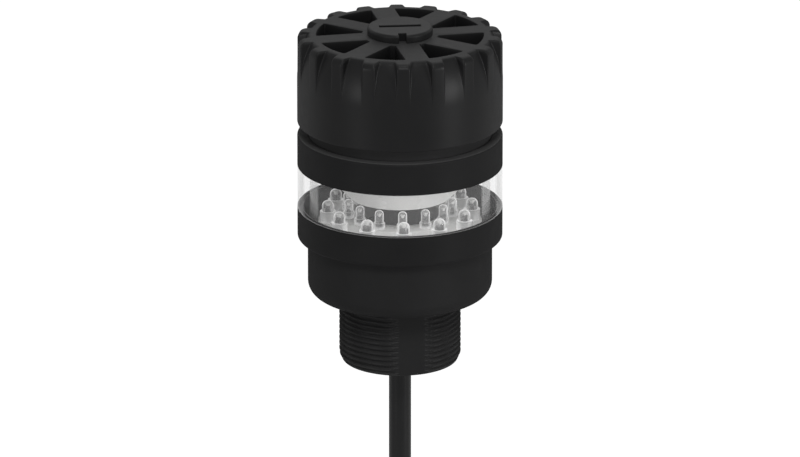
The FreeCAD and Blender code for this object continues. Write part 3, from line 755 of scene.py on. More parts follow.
@dataclass
class Cable(SubAssembly):
    """Integral cable: a free run, the length put away in a tied hank, and its bare leads."""

    radius: float = 2.72
    length: float = 2.0
    exit_z: float = -16.2
    hank_top: float = -97.0
    hank_low: float = -205.0
    layer_pitch: float = 5.6
    end_loops: int = 14
    run: tuple[Corner, ...] = (
        (0, 0, -40), (0, 0, -52), (0, 11.2, -77), (0.6, 11.2, -97), (2.2, 11.2, -124), (1.0, 11.2, -151))
    tail: tuple[Corner, ...] = ((1.0, -11.2, -151), (2.2, -11.2, -178), (0.6, -11.2, -198))
    front_layer: float = 11.2
    apex_lift: float = 2.0
    arc_step: float = 22.5
    tie_width: float = 5.0
    tie_inner: Pair = (11.25, 14.05)
    tie_thickness: float = 1.2
    tie_bevel: float = 0.25
    tie_head: Trio = (3.2, 2.4, 0.6)
    tie_chamfer: float = 0.3
    tie_corner: float = 1.5
    head_corner: float = 0.5
    head_sink: float = 0.6
    tie_end: Trio = (0.6, 2.0, 0.4)
    tie_end_rounds: Pair = (0.3, 0.1)
    tie_end_place: Pair = (-2.0, 2.9)
    jacket_end: float = -211.0
    lead_radius: float = 0.75
    lead_length: float = 22.0
    lead_pitch: float = 1.35
    lead_splay: float = 2.4
    lead_flat: float = 0.8
    lead_hold: float = 2.0
    lead_wall: float = 0.3
    stripped: float = 0.8
    lap: float = 0.02

    def arc(self, top: bool, lanes: tuple[Lane, Lane], layers: tuple[int, int]) -> np.ndarray:
        """Control points of one end loop of the hank.

        They lie evenly on an arc a little over half a turn. The radius and the layer pass smoothly from the
        first lane and layer to the last. An upper loop that stays in its lane has its apex raised in the
        outer lane and lowered in the inner one, which keeps it clear of its neighbours.

        Args:
            top: the upper end, or else the lower one.
            lanes: the lane at the arc's start and end.
            layers: the layer at the arc's start and end, counted from the back.

        Returns:
            Points (x, y, z) in millimetres.
        """
        outer = Lane.OUTER.value[0]
        centre = self.hank_top - self.radius - outer if top else self.hank_low + self.radius + outer
        sweep = 180 + 2 * self.arc_step
        count = round(sweep / self.arc_step) + 1
        share = np.linspace(0, 1, count)
        start = 180 + self.arc_step if top else self.arc_step
        angle = np.radians(start - share * sweep)
        eased = share * share * (3 - 2 * share)
        first, last = (lane.value[0] for lane in lanes)
        radius = (first + (last - first) * eased) / math.cos(math.radians(self.arc_step / 2))
        layer = layers[0] + (layers[1] - layers[0]) * eased
        height = centre + radius * np.sin(angle)
        if top and lanes[0] is lanes[1]:
            lift = self.apex_lift if lanes[0] is Lane.OUTER else -self.apex_lift
            height = height + lift * np.sin(np.pi * share) ** 4
        return np.stack([radius * np.cos(angle), self.front_layer - self.layer_pitch * layer, height], axis=1)

    def route(self) -> np.ndarray:
        """Control points of the whole cable, in millimetres.

        The free run is the frame's own route. The cable then goes down one side, round the lower end, up the
        other side and round the upper end. On every fourth end loop it passes to the other lane. Two lower
        loops fill a layer, and each upper loop lies a layer further on than the lower ones beside it.
        """
        middle = (self.hank_top + self.hank_low) / 2
        points = [(0, 0, self.exit_z), *self.run]
        lanes = [Lane.OUTER if (loop + 2) // 4 % 2 else Lane.INNER for loop in range(self.end_loops + 1)]
        layer = 0
        for loop, pair in enumerate(zip(lanes, lanes[1:])):
            top = loop % 2 == 1
            layers = ((loop + 3) // 4, (loop + 5) // 4) if top else (loop // 4, loop // 4)
            if loop:
                depth = self.front_layer - self.layer_pitch * (layer + layers[0]) / 2
                points.append(((-1 if top else 1) * pair[0].value[1], depth, middle))
            points += [tuple(point) for point in self.arc(top, pair, layers)]
            layer = layers[1]
        return np.array([*points, *self.tail, (0, -self.front_layer, self.jacket_end)])

    def curve(self) -> bpy.types.Curve:
        """The cable as one open NURBS spline with a round section.

        The bevel is one metre deep and each point's radius is the cable's, so that the curve's box, which
        adds the points' radii to their places, has the cable's true size.
        """
        points = self.route() * MM
        curve = bpy.data.curves.new("cable", "CURVE")
        curve.dimensions = "3D"
        curve.bevel_depth = 1.0
        curve.bevel_resolution = 9
        curve.use_fill_caps = True
        spline = curve.splines.new("NURBS")
        spline.points.add(len(points) - 1)
        spline.points.foreach_set("co", np.hstack([points, np.ones((len(points), 1))]).ravel())
        spline.points.foreach_set("radius", np.full(len(points), self.radius * MM))
        spline.order_u = 3
        spline.use_endpoint_u = True
        spline.resolution_u = 6
        return curve

    def tie(self) -> Shell:
        """Band round the waist, with its locking head and cut end at the front.

        The band is a rounded rectangle in plan inside the same one grown, and both its rims are bevelled.
        """
        middle = (self.hank_top + self.hank_low) / 2
        (width, depth), (head_x, head_y, head_more) = self.tie_inner, self.tie_head
        grown, bevel, chamfer = self.tie_thickness, self.tie_bevel, self.tie_chamfer
        half = self.tie_width / 2
        plan = rectangle((-width, width), (-depth, depth), self.tie_corner, self.tie_corner, 6)
        side = [(half - bevel, 0.0), (half, bevel), (half, grown - bevel), (half - bevel, grown)]
        rim = [(middle - up, out) for up, out in side] + [(middle + up, out) for up, out in reversed(side)]
        band = Shell.upright(plan, rim)
        band = Shell.woven(band.points.reshape(len(rim), len(plan), 3), loop_rows=True)
        tall = half + head_more
        plan = rectangle((-head_x, head_x), (-head_y, head_y), self.head_corner, self.head_corner, 4)
        head = Shell.upright(plan, [(middle - tall, -chamfer), (middle - tall + chamfer, 0),
                                    (middle + tall - chamfer, 0), (middle + tall, -chamfer)])
        wide, reach, less = self.tie_end
        end = Shell.upright(rectangle((-wide, wide), (-reach, 0), *self.tie_end_rounds, 3), [
            (middle - half + less, 0), (middle + half - less, 0)])
        front, (across, out) = -depth - grown, self.tie_end_place
        return band + head.moved(y=front - self.head_sink) + end.moved(x=across, y=front - out)

    def lead(self, index: int, inset: float, start: float, end: float) -> Shell:
        """One lead, which falls evenly and moves outwards with the square of the share of its length.

        Args:
            index: which of the four leads.
            inset: how much thinner than its insulation the tube is.
            start: share of the lead's length where the tube starts.
            end: share where it ends.

        Returns:
            The tube.
        """
        angle = math.radians(45 + 90 * index)
        share = np.linspace(start, end, 14)
        out = self.lead_pitch + self.lead_splay * share ** 2
        fall = (self.lead_length + self.lead_hold) * share
        path = np.stack([out * math.cos(angle), out * math.sin(angle) * self.lead_flat - self.front_layer,
                         self.jacket_end + self.lead_hold - fall], axis=1)
        return Shell.swept(path, self.lead_radius - inset)

    def build(self) -> None:
        """Cord first, then its tie and leads."""
        cord = self.add("cable", self.curve(), self.finishes.jacket, ("cable_run", "cable_hank"))
        tie = self.add("cable_tie", self.tie().mesh("cable_tie"), self.finishes.tie, ("hank_tie",))
        leads = []
        for index, (name, colour) in enumerate(LEAD_COLOURS.items()):
            name = "lead_" + name
            finish = Moulding(name, colour, 0.4, specular=0.5, mottle=0.06, relief=0.004)
            mesh = self.lead(index, 0.0, 0.0, self.stripped).mesh(name)
            leads.append(self.add(name, mesh, finish, ("cable_leads",), slot="lead_plastic"))
        tips = sum((self.lead(index, self.lead_wall, self.stripped - self.lap, 1.0)
                    for index in range(len(leads))), NOTHING)
        leads.append(self.add("lead_tips", tips.mesh("lead_tips"), self.finishes.silver, slot="lead_plastic"))


@dataclass
class Base(SubAssembly):
    """Base housing with its threaded, keyed stem, the gland and the control board."""

    radius: float = 22.5
    height: float = 14.55
    edge: float = 3.4
    cavity: float = 20.0
    spigot: float = 21.5
    spigot_top: float = 15.75
    floor: float = 2.5
    stem: float = 14.87
    stem_length: float = 17.0
    lead: float = 1.8
    tip: float = 14.0
    tip_round: float = 0.6
    bore: float = 11.0
    key_flat: float = 13.75
    bore_round: float = 0.3
    rim_round: float = 0.15
    pitch: float = 1.325
    thread_depth: float = 0.78
    crest_share: float = 1 / 8
    root_share: float = 1 / 4
    thread_rows: int = 12
    flat_side: float = 0.2
    longest: float = 2.0
    plain: float = 0.9
    runout: float = 1.3
    gland_z: float = -16.2
    gland_gap: float = 0.05
    gland_head: Pair = (13.0, 4.0)
    gland_rounds: Pair = (0.4, 0.5)
    columns: int = 360

    def thread(self, height: np.ndarray, angle: np.ndarray) -> np.ndarray:
        """Radius of the threaded stem.

        A right-handed thread: the distance from the nearest crest, in pitches, is the sawtooth of the height
        less the pitch per turn. The radius falls from crest to root over the flank, eased at both ends, fades
        out below the shoulder, and is never past the key flat, whose radius is its offset over the cosine.
        The cosine is kept above a least value, below which the flat is out of reach.

        Args:
            height: heights, one per row.
            angle: angles, one per column.

        Returns:
            The radius at each row and column.
        """
        phase = height / self.pitch - angle / (2 * math.pi)
        away = np.abs(phase - np.floor(phase) - 0.5)
        crest, root = self.crest_share / 2, 0.5 - self.root_share / 2
        flank = np.clip((away - crest) / (root - crest), 0, 1)
        fade = np.clip((-height - self.plain) / self.runout, 0, 1)
        radius = self.stem - self.thread_depth * flank * flank * (3 - 2 * flank) * fade
        flat = self.key_flat / np.maximum(np.cos(angle), self.flat_side)
        return np.minimum(radius, flat)

    def housing(self) -> bpy.types.Mesh:
        """Drum, stem and spigot as one surface about the axis, threaded on the stem's outside."""
        outline = rounded([
            (self.bore, -self.stem_length, self.bore_round), (self.tip, -self.stem_length, self.tip_round),
            (self.stem, self.lead - self.stem_length), (self.stem, 0), (self.radius, 0, self.edge),
            (self.radius, self.height, self.rim_round), (self.spigot, self.height),
            (self.spigot, self.spigot_top), (self.cavity, self.spigot_top), (self.cavity, self.floor),
            (self.bore, self.floor),
        ], 10)
        ahead = np.roll(outline, -1, axis=0)
        outer = (outline[:, 0] > self.tip - PAST / 2) & (ahead[:, 0] < self.stem + GUARD)
        on_stem = outer & (ahead[:, 1] <= TINY)
        outline = divided(outline, np.where(on_stem, self.pitch / self.thread_rows, self.longest))
        angle = whole_turn(self.columns)[None]
        radius, height = outline[:, :1], outline[:, 1:]
        outside = (radius > self.bore + PAST) & (height <= TINY) & (radius <= self.stem + TINY)
        radius = np.where(outside, np.minimum(radius, self.thread(height, angle)), radius)
        return Shell.woven(around_axis(radius, height, angle), loop_rows=True).mesh("base_housing", 40)

    def gland(self) -> bpy.types.Mesh:
        """Rubber plug, with a wider head inside the base."""
        plug, (head, top), (low, high) = self.bore - self.gland_gap, self.gland_head, self.gland_rounds
        return Shell.spun([
            (0, self.gland_z), (plug, self.gland_z, low), (plug, self.floor), (head, self.floor),
            (head, top, high), (0, top),
        ], 96).mesh("cable_gland")

    def build(self) -> None:
        """Housing and gland, with the boards and screws of the frame."""
        skin = self.finishes
        self.cover("base_housing", self.housing(), skin.housing)
        self.cover("cable_gland", self.gland(), skin.rubber)
        self.keep(control_board=skin.board, board_connector=skin.socket, board_screws=skin.steel,
                  base_gasket=skin.rubber)


@dataclass
class Emitters:
    """One circle of clear domed light emitters; the metal and cup sizes are those at the design radius."""

    name: str
    count: int
    pitch_radius: float
    start: float
    foot: float
    radius: float
    height: float
    flange: float = 0.55
    flange_height: float = 2.7
    dome_share: float = 0.9
    anvil_share: float = 0.7
    cup_share: float = 0.84
    design_radius: float = 1.5
    lift: float = 0.02
    rounds: Pair = (0.08, 0.25)
    frame_lift: float = 0.2
    anvil: Four = (-1.0, 0.45, 0.5, 0.15)
    anvil_flare: Trio = (1.3, 0.15, -0.1)
    post: Four = (0.65, 1.05, 0.4, 0.1)
    cup: Four = (0.4, 0.8, 0.5, 0.3)
    cup_depth: float = 0.45
    cup_wall: float = 0.5

    def nodes(self) -> list[str]:
        """The frame nodes of the circle."""
        return ["%s_led_%02d" % (self.name, index + 1) for index in range(self.count)]

    def repeated(self, one: Shell) -> Shell:
        """One emitter's shell, repeated round the circle."""
        return one.moved(y=-self.pitch_radius).copies(self.count, -self.start)

    def bodies(self) -> Shell:
        """Clear bodies, each with a flange, a straight barrel and a dome."""
        outer, low = self.radius + self.flange, self.foot + self.lift
        top, ledge = self.foot + self.height, self.foot + self.flange_height
        return self.repeated(Shell.spun([
            (0, low), (outer, low, self.rounds[0]), (outer, ledge, self.rounds[1]), (self.radius, ledge),
            (self.radius, top, self.radius * self.dome_share), (0, top),
        ], 36, 9))

    def frames(self) -> Shell:
        """Metal inside each body: an anvil, and a slimmer post beside it."""
        unit = self.radius / self.design_radius
        low, shoulder = self.foot + self.frame_lift, self.foot + self.height * self.anvil_share
        drop, swell, pinch = (size * unit for size in self.anvil_flare)
        parts = ((self.anvil, [(low, 0.0), (shoulder - drop, swell), (shoulder, pinch)]),
                 (self.post, [(low, 0.0), (shoulder, 0.0)]))
        return self.repeated(sum((
            Shell.upright(rectangle((left, right), (-deep, deep), corner, corner, 3) * unit, levels)
            for (left, right, deep, corner), levels in parts), NOTHING))

    def cups(self) -> Shell:
        """White cup on each anvil, open upwards. The emitter has such a cup, and its white also stands in for
        the ring of highlight seen in each dome, a painted highlight.
        """
        unit = self.radius / self.design_radius
        floor = self.foot + self.height * self.cup_share
        low, rim = floor - self.cup_wall, floor + self.cup_depth * unit
        foot, lip, mouth, dish = (size * unit for size in self.cup)
        return self.repeated(Shell.spun([
            (0, low), (foot, low), (lip, rim), (mouth, rim), (dish, floor), (0, floor)], 24, 3))


@dataclass
class LightModule(SubAssembly):
    """Lower ring, lens, upper ring and the light source inside them."""

    radius: float = 25.0
    ring_z: float = 14.55
    web_z: float = 16.25
    web_top: float = 17.0
    lens_z: float = 22.3
    upper_z: float = 33.0
    upper_web_top: float = 34.8
    neck_z: float = 40.9
    lens_wall: float = 1.5
    spigot: float = 21.55
    neck_bore: float = 22.45
    duct: float = 5.05
    tube: Pair = (20.0, 22.0)
    board: Pair = (9.8, 19.95)
    board_top: float = 18.5
    carrier: Pair = (15.6, 15.0)
    carrier_top: float = 20.4
    groove: Trio = (11.45, 11.75, 0.4)
    cone: Trio = (12.5, 19.8, 7.85)
    cone_wall: float = 1.4
    tongue: Trio = (23.95, 24.55, 1.2)
    seat: float = 0.05
    lens_gap: float = 0.01
    foot_round: float = 0.75
    seam_round: float = 0.12
    neck_round: float = 0.45
    rim_round: float = 0.1
    lens_round: float = 0.08
    tube_round: float = 0.05
    carrier_rounds: Trio = (0.3, 0.05, 0.2)
    cone_round: float = 0.3
    outer: Emitters = field(default_factory=lambda: Emitters("outer", 12, 17.56, 9.0, 18.5, 1.5, 5.3))
    inner: Emitters = field(default_factory=lambda: Emitters(
        "inner", 14, 12.93, 9.2, 20.4, 1.1, 4.6, 0.35, 1.5, anvil_share=0.4, cup_share=0.76))

    def lower_ring(self) -> Shell:
        """Ring with a pocket for the lens and a web under the light source."""
        low, high, deep = self.tongue
        low, high, bottom = low - self.seat, high + self.seat, self.lens_z - deep - self.seat
        bore = self.radius - self.lens_wall
        return Shell.spun([
            (self.spigot, self.ring_z), (self.radius, self.ring_z, self.foot_round),
            (self.radius, self.lens_z, self.seam_round), (high, self.lens_z), (high, bottom), (low, bottom),
            (low, self.lens_z, self.rim_round), (bore, self.lens_z, self.rim_round), (bore, self.web_top),
            (self.duct, self.web_top), (self.duct, self.web_z), (self.spigot, self.web_z),
        ], 240)

    def upper_ring(self) -> Shell:
        """Ring over the lens, with a web that closes the light module."""
        low, high, deep = self.tongue
        low, high, top = low - self.seat, high + self.seat, self.upper_z + deep + self.seat
        return Shell.spun([
            (self.duct, self.upper_z), (low, self.upper_z), (low, top), (high, top), (high, self.upper_z),
            (self.radius, self.upper_z, self.seam_round), (self.radius, self.neck_z, self.neck_round),
            (self.neck_bore, self.neck_z, self.rim_round), (self.neck_bore, self.upper_web_top),
            (self.duct, self.upper_web_top),
        ], 240)

    def lens(self) -> Shell:
        """Clear tube with a tongue at each end."""
        low, high, deep = self.tongue
        bore = self.radius - self.lens_wall
        bottom, top = self.lens_z + self.lens_gap, self.upper_z - self.lens_gap
        return Shell.spun([
            (bore, bottom), (low, bottom), (low, bottom - deep), (high, bottom - deep), (high, bottom),
            (self.radius, bottom, self.lens_round), (self.radius, top, self.lens_round), (high, top),
            (high, top + deep), (low, top + deep), (low, top), (bore, top),
        ], 300)

    def inner_tube(self) -> Shell:
        """Clear tube between the webs."""
        (low, high), foot, top = self.tube, self.web_top, self.upper_z
        corners = ((low, foot), (high, foot), (high, top), (low, top))
        return Shell.spun([(*corner, self.tube_round) for corner in corners], 300, 3)

    def led_board(self) -> Shell:
        """Ring-shaped board under the outer emitters."""
        (low, high), foot, top, edge = self.board, self.web_top, self.board_top, self.rim_round
        return Shell.spun([(low, foot), (high, foot), (high, top, edge), (low, top, edge)], 160, 3)

    def led_carrier(self) -> Shell:
        """Raised ring under the inner emitters, with a groove in its top."""
        low, (foot, edge), top = self.board[0], self.carrier, self.carrier_top
        (inside, outside, deep), (outer, lip, inner) = self.groove, self.carrier_rounds
        return Shell.spun([
            (low, self.board_top), (foot, self.board_top), (edge, top, outer), (outside, top, lip),
            (outside, top - deep), (inside, top - deep), (inside, top, lip), (low, top, inner),
        ], 160, 5)

    def reflector(self) -> Shell:
        """Cone of even wall over the inner emitters, closed below."""
        low, high, rise = self.cone
        slope = (high - low) / rise
        across = self.cone_wall * math.hypot(1, slope)
        foot = self.upper_z - rise
        floor = foot + self.cone_wall
        return Shell.spun([
            (self.duct, foot), (low, foot, self.cone_round), (high, self.upper_z),
            (high - across, self.upper_z), (low - across + slope * self.cone_wall, floor), (self.duct, floor),
        ], 200)

    def build(self) -> None:
        """Rings, clear tubes, boards, emitters and reflector."""
        skin = self.finishes
        for make, finish in (
                (self.lower_ring, skin.rings), (self.upper_ring, skin.rings), (self.lens, skin.lens),
                (self.inner_tube, skin.tube), (self.led_board, skin.white_board),
                (self.led_carrier, skin.white), (self.reflector, skin.reflector)):
            self.cover(make.__name__, make().mesh(make.__name__), finish)
        for circle in (self.outer, self.inner):
            for part, shell, finish, nodes, slot in (
                    ("_emitters", circle.bodies(), skin.epoxy, circle.nodes(), ""),
                    ("_frames", circle.frames(), skin.anvil, (), "steel"),
                    ("_cups", circle.cups(), skin.white, (), "")):
                name = circle.name + part
                self.add(name, shell.mesh(name), finish, nodes, slot=slot)
        self.keep(wire_duct=skin.duct)


@dataclass
class Sounder(SubAssembly):
    """Neck and drum under the cap, with the sounder on its board."""

    def build(self) -> None:
        """Keep the frame's own shapes."""
        skin = self.finishes
        self.keep(sounder_body=skin.drum, sounder_board=skin.board, sounder_element=skin.sounder,
                  thrust_washer=skin.steel)


@dataclass
class VolumeCap(SubAssembly):
    """Ribbed, spoked cap that turns over the ports, and the retainer in its middle."""

    radius: float = 25.0
    low_z: float = 44.0
    top_z: float = 66.1
    plate: float = 3.4
    bore: float = 20.9
    mouth: float = 22.7
    mouth_z: float = 45.9
    hub_bore: float = 4.06
    low_edge: float = 0.35
    plain: float = 2.0
    top_edge: float = 1.7
    ribs: int = 18
    groove_depth: float = 2.8
    groove_height: float = 11.3
    groove_mouth: float = 2.75
    groove_floor: float = 1.85
    groove_edge: float = 1.4
    rib_round: float = 0.42
    foot_round: float = 0.45
    windows: int = 8
    window_radius: float = 20.3
    window_corner: float = 0.4
    window_break: float = 0.22
    break_bend: Pair = (0.4, 0.25)
    spoke: float = 5.9
    hub_plate: float = 9.3
    land: float = 0.45
    track: Trio = (22.1, 43.0, 47.6)
    track_ends: Pair = (-27.33, 4.83)
    head: Trio = (7.94, 2.0, 0.7)
    head_gap: float = 0.06
    shank: Pair = (4.0, 11.0)
    slot: Trio = (10.1, 1.5, 1.0)
    notch: Pair = (1.9, 2.1)
    brim: float = 0.12
    hub_turn: float = -7.0
    rows: tuple[int, int, int, int] = (4, 26, 9, 4)
    fade_gap: float = 0.6
    most_round: float = 0.4
    spare: float = 4.0
    arc_points: tuple[int, int] = (16, 3)
    bore_round: float = 0.15
    retainer_rounds: Four = (0.4, 0.1, 0.15, 0.2)

    def profiles(self) -> tuple[np.ndarray, ...]:
        """Outline of the cap through a rib's crest and through a groove's floor, with matching rows.

        The crest goes straight up and over its edge. The floor leaves the side at the groove's foot on an arc
        tangent to it, and turns into the top on a smaller arc tangent to both.

        Returns:
            (radius, height) of each row, on the crest and on the floor.
        """
        edge, (side_rows, groove_rows, edge_rows, top_rows) = self.groove_edge, self.rows
        fade, edge_z = self.top_z - self.groove_height, self.top_z - edge
        bend = (self.groove_height ** 2 + self.groove_depth ** 2) / (2 * self.groove_depth)
        centre = self.radius - bend
        edge_r = centre + math.sqrt((bend - edge) ** 2 - (edge_z - fade) ** 2)
        leave = math.asin((edge_z - fade) / (bend - edge))
        side_z = self.low_z + self.plain
        foot = rounded([(self.mouth, self.low_z), (self.radius, self.low_z, self.low_edge),
                        (self.radius, side_z), (self.mouth, side_z)], 6)
        foot = foot[foot[:, 1] < side_z - GUARD]
        side = pairs(self.radius, np.linspace(side_z, fade - self.fade_gap, side_rows))
        share = np.linspace(0, 1, groove_rows)
        groove_crest = pairs(self.radius, fade + share * (self.top_z - self.top_edge - fade))
        groove_floor = pairs(centre + bend * np.cos(share * leave), fade + bend * np.sin(share * leave))
        turn = np.linspace(0, 1, edge_rows)[1:]
        over = turn * math.pi / 2
        edge_crest = pairs(self.radius - self.top_edge * (1 - np.cos(over)),
                           self.top_z - self.top_edge * (1 - np.sin(over)))
        over = leave + turn * (math.pi / 2 - leave)
        edge_floor = pairs(edge_r + edge * np.cos(over), edge_z + edge * np.sin(over))
        inward = np.linspace(0, 1, top_rows)[1:, None]
        level = np.array([self.window_radius + self.land, self.top_z])
        return tuple(np.vstack([foot, side, groove, last, last[-1] + (level - last[-1]) * inward])
                     for groove, last in ((groove_crest, edge_crest), (groove_floor, edge_floor)))

    def ribbed(self) -> np.ndarray:
        """Outer skin of the cap as a grid of rows up the side and columns round it.

        Across half a groove the columns run along its floor, round its foot, up its wall, round the rib's
        corner and along the crest. Both roundings are parabolas whose middle control is the sharp corner. The
        other half is its mirror image, and the whole groove repeats round the cap.
        """
        crest, floor = self.profiles()
        period = math.pi / self.ribs
        crest_r, crest_z = crest[:, :1], crest[:, 1:]
        floor_r, floor_z = floor[:, :1], floor[:, 1:]
        depth = np.clip((self.radius - floor_r) / self.groove_depth, 0, 1)
        half = self.groove_mouth + (self.groove_floor - self.groove_mouth) * depth
        mouth_angle = np.arcsin(self.groove_mouth / crest_r)
        foot_angle = np.arcsin(half / floor_r)
        corner = around_axis(crest_r, crest_z, mouth_angle)
        foot = around_axis(floor_r, floor_z, foot_angle)
        length = np.linalg.norm(corner - foot, axis=-1, keepdims=True)
        wall = unit(corner - foot)
        foot_reach = np.minimum(self.foot_round, self.most_round * length)
        rib_reach = np.minimum(self.rib_round, self.most_round * length)
        wall_start, wall_end = foot + wall * foot_reach, corner - wall * rib_reach
        floor_end = foot_angle - foot_reach[..., 0] / floor_r
        crest_start = mouth_angle + rib_reach[..., 0] / crest_r
        share = np.linspace(0, 1, 4)[None]
        along_floor = around_axis(floor_r, floor_z, share * floor_end)
        along_crest = around_axis(crest_r, crest_z, crest_start + share * (period - crest_start))
        bend = np.linspace(0, 1, 5)[None, 1:-1, None]
        half_grid = np.concatenate([
            along_floor, bent(along_floor[:, -1:], foot, wall_start, bend), wall_start, wall_end,
            bent(wall_end, corner, along_crest[:, :1], bend), along_crest], axis=1)
        mirror = half_grid[:, ::-1][:, :-1] * np.array([-1.0, 1.0, 1.0])
        one = np.concatenate([mirror, half_grid[:, :-1]], axis=1)
        return np.concatenate([turned(one, index * 2 * period) for index in range(self.ribs)], axis=1)

    def shell(self) -> bpy.types.Mesh:
        """Whole cap before its windows: the ribbed skin, the plate's bore and the inner walls.

        The inner outline is closed by spare corners outside the cap, which are left out again.
        """
        skin = self.ribbed()
        under, low, back = self.top_z - self.plate, self.low_z - self.spare, self.hub_bore - 2 * self.spare
        inside = rounded([
            (self.hub_bore, self.top_z, self.bore_round), (self.hub_bore, under), (self.bore, under),
            (self.bore, self.mouth_z), (self.mouth, self.mouth_z), (self.mouth, low), (back, low),
            (back, self.top_z),
        ], 4)
        inside = inside[(inside[:, 0] > self.hub_bore - PAST) & (inside[:, 1] > self.low_z - PAST)]
        radial = unit(skin[-1:, :, :2]) * inside[:, None, :1]
        height = np.broadcast_to(inside[:, None, 1:], (*radial.shape[:2], 1))
        rows = np.concatenate([radial, height], axis=2)
        return Shell.woven(np.concatenate([skin, rows], axis=0), loop_rows=True).mesh("volume_cap")

    def window_cutters(self) -> Shell:
        """Openings between the spokes, flared a little at the top, along a bend, to break their edges.

        Each outline lies between the sides of two spokes and two arcs about the cap's axis. On an arc the
        window's half angle is half the wedge, less the arc sine of half a spoke over the arc's radius.
        """
        wedge = math.pi / self.windows
        corners = []
        for radius, count, sign in zip((self.window_radius, self.hub_plate), self.arc_points, (1, -1)):
            end = wedge - math.asin(self.spoke / 2 / radius)
            corners += [(radius * math.cos(turn), radius * math.sin(turn),
                         self.window_corner if index in (0, count - 1) else 0.0)
                        for index, turn in enumerate(np.linspace(-end * sign, end * sign, count))]
        top, flare, (drop, grown) = self.top_z, self.window_break, self.break_bend
        cutter = Shell.upright(rounded(corners, 6), [
            (top - self.plate - PAST, 0.0), (top - flare, 0.0), (top - flare * drop, flare * grown),
            (top, flare), (top + PAST, flare + PAST),
        ])
        return cutter.copies(self.windows, -90 + 180.0 / self.windows)

    def track_cutter(self) -> Shell:
        """Recess at the back in which the drum's lug travels, as a sector with its ends on radii."""
        radius, low, high = self.track
        turn = np.radians(90 + np.linspace(*self.track_ends, 14))
        reach = np.array([[self.bore - PAST], [radius]])
        arcs = np.stack([reach * np.cos(turn), reach * np.sin(turn)], axis=-1)
        return Shell.upright(np.vstack([arcs[1], arcs[0][::-1]]), [(low, 0.0), (high, 0.0)])

    def retainer(self) -> bpy.types.Mesh:
        """Head with a slot and a notch, on a round shank."""
        radius, height, edge = self.head
        low = self.top_z + self.head_gap
        top = low + height
        (shank, long), (end, under, slot_round, notch_round) = self.shank, self.retainer_rounds
        body = Shell.spun([
            (0, low - long), (shank, low - long, end), (shank, low), (radius, low, under),
            (radius, top, edge), (0, top),
        ], 144, 8)
        (length, width, deep), (wide, reach), brim = self.slot, self.notch, self.brim
        flare = [(top - brim, 0.0), (top, brim), (top + PAST, brim + PAST)]
        slot = rectangle((-length / 2, length / 2), (-width / 2, width / 2), slot_round, slot_round, 4)
        notch = rectangle((-wide / 2, wide / 2), (-radius - 2 * PAST, reach - radius), 0.0, notch_round, 4)
        tool = Shell.upright(slot, [(top - deep, 0.0), *flare])
        tool = tool + Shell.upright(notch, [(low - PAST / 2, 0.0), *flare])
        tool = Shell(turned(tool.points, math.radians(self.hub_turn)), tool.faces)
        return carved(body.mesh("hub_retainer"), tool.mesh("hub_cutters"))

    def build(self) -> None:
        """Cap with its windows and the lug's track, and the retainer."""
        cutters = (self.window_cutters() + self.track_cutter()).mesh("cap_cutters")
        self.cover("volume_cap", carved(self.shell(), cutters), self.finishes.cap, Body.CAP)
        self.cover("hub_retainer", self.retainer(), self.finishes.hub)


# Studio

def direction(azimuth: float, elevation: float) -> Vector:
    """Unit vector from the object towards a place round it; azimuth 0 is the front, 90 the right."""
    turn, rise = math.radians(azimuth), math.radians(elevation)
    return Vector((math.sin(turn) * math.cos(rise), -math.cos(turn) * math.cos(rise), math.sin(rise)))


def placed(name: str, data: bpy.types.ID, aim: Vector, back: Vector, distance: float) -> bpy.types.Object:
    """Put a camera or lamp in the scene, at a distance back from the point that it faces, in metres."""
    thing = linked(name, data)
    thing.location = aim + back * distance
    thing.rotation_mode = "QUATERNION"
    thing.rotation_quaternion = (-back).to_track_quat("-Z", "Y")
    return thing


@dataclass(frozen=True)
class Lamp:
    """A soft square lamp, placed by direction about the object, with its sizes in metres."""

    name: str
    azimuth: float
    elevation: float
    power: float
    size: float = 0.4
    distance: float = 1.6

    def hang(self, aim: Vector) -> None:
        """Add the lamp, unseen itself and facing a point in metres."""
        data = bpy.data.lights.new(self.name, "AREA")
        data.shape, data.size, data.energy = "SQUARE", self.size, self.power
        lamp = placed(self.name, data, aim, direction(self.azimuth, self.elevation), self.distance)
        lamp.visible_camera = False
        LOG.info("%s: lamp of %.1f W", self.name, self.power)


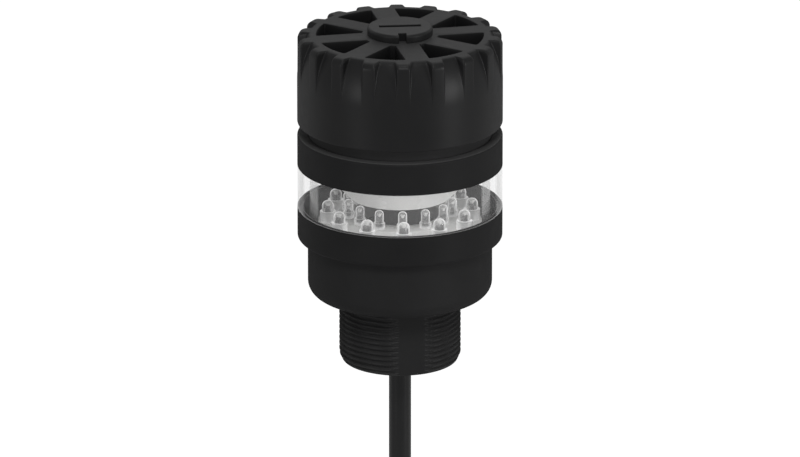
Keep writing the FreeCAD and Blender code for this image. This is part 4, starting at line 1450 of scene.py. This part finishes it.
@dataclass
class Studio:
    """Camera, lamps, floor and world, in degrees and metres, with the camera's lens in millimetres."""

    azimuth: float = -12.0
    elevation: float = 18.8
    distance: float = 2.71
    lens: float = 500.0
    aim: Trio = (0.0, 0.0, 0.01626)
    floor_gap: float = 0.003
    floor_radius: float = 6.0
    floor_sides: int = 64
    floor_colour: Colour = grey(0.34)
    floor_glow: float = 0.8
    sky: float = 0.42
    bounces: int = 24
    lamps: tuple[Lamp, ...] = (
        Lamp("key_lamp", 46.0, 0.0, 15.0),
        Lamp("fill_lamp", -58.0, 0.0, 8.0),
        Lamp("front_lamp", -8.0, 44.0, 11.0),
        Lamp("top_lamp", -6.0, 80.0, 7.0, 0.5),
    )

    def set_camera(self) -> None:
        """Camera at the photograph's angle."""
        data = bpy.data.cameras.new("camera")
        data.lens, data.sensor_width = self.lens, 36.0
        data.clip_start, data.clip_end = 0.05, 50.0
        back = direction(self.azimuth, self.elevation)
        bpy.context.scene.camera = placed("camera", data, Vector(self.aim), back, self.distance)

    @staticmethod
    def seen(bench: Bench) -> Term:
        """1 for rays from the camera, or that come by reflection or through clear plastic, and else 0."""
        camera, glossy, through = (bench.node("LightPath", output="Is %s Ray" % kind)
                                   for kind in ("Camera", "Glossy", "Transmission"))
        return (camera + glossy + through).at_most(1.0)

    def set_world(self) -> None:
        """White where it is seen, softer where it only lights."""
        world = bpy.data.worlds.new("studio")
        bpy.context.scene.world = world
        world.use_nodes = True
        bench = Bench(world.node_tree)
        level = self.sky + self.seen(bench) * (1.0 - self.sky)
        bench.surface(bench.node("Background", {"Color": (1, 1, 1, 1), "Strength": level}), True)

    def paper(self, bench: Bench) -> Term:
        """Pale paper, seen as white but for the object's shadow, and open from below."""
        paper = bench.node("BsdfDiffuse", {"Color": (*self.floor_colour, 1.0)})
        glow = bench.node("Emission", {"Color": (1, 1, 1, 1), "Strength": self.seen(bench) * self.floor_glow})
        lit = bench.node("AddShader", {0: paper, 1: glow})
        below = bench.node("NewGeometry", output="Backfacing")
        return bench.node("MixShader", {0: below, 1: lit, 2: bench.node("BsdfTransparent")})

    def set_floor(self) -> None:
        """Round floor under the object, facing up."""
        low = CAD_BOX[0][2] - self.floor_gap
        mesh = bpy.data.meshes.new("floor")
        points = around_axis(self.floor_radius, low, whole_turn(self.floor_sides))
        mesh.from_pydata(points, [], [list(range(self.floor_sides))])
        mesh.materials.append(material_of("floor_paper", self.paper))
        linked("floor", mesh)

    def build(self) -> None:
        """Set the whole studio."""
        self.set_camera()
        self.set_world()
        self.set_floor()
        for lamp in self.lamps:
            lamp.hang(Vector(self.aim))
        scene = bpy.context.scene
        scene.view_settings.view_transform = "Standard"
        scene.cycles.max_bounces = scene.cycles.transmission_bounces = self.bounces


def main() -> None:
    """Build the studio and each sub-assembly in order."""
    logging.basicConfig(level=logging.INFO, format="%(name)s: %(message)s")
    Studio().build()
    finishes = Finishes()
    for assembly in (Cable(finishes), Base(finishes), LightModule(finishes), Sounder(finishes),
                     VolumeCap(finishes)):
        assembly.build()
        assembly.dress()
        LOG.info("%s: done", type(assembly).__name__)


if __name__ == "__main__":
    main()
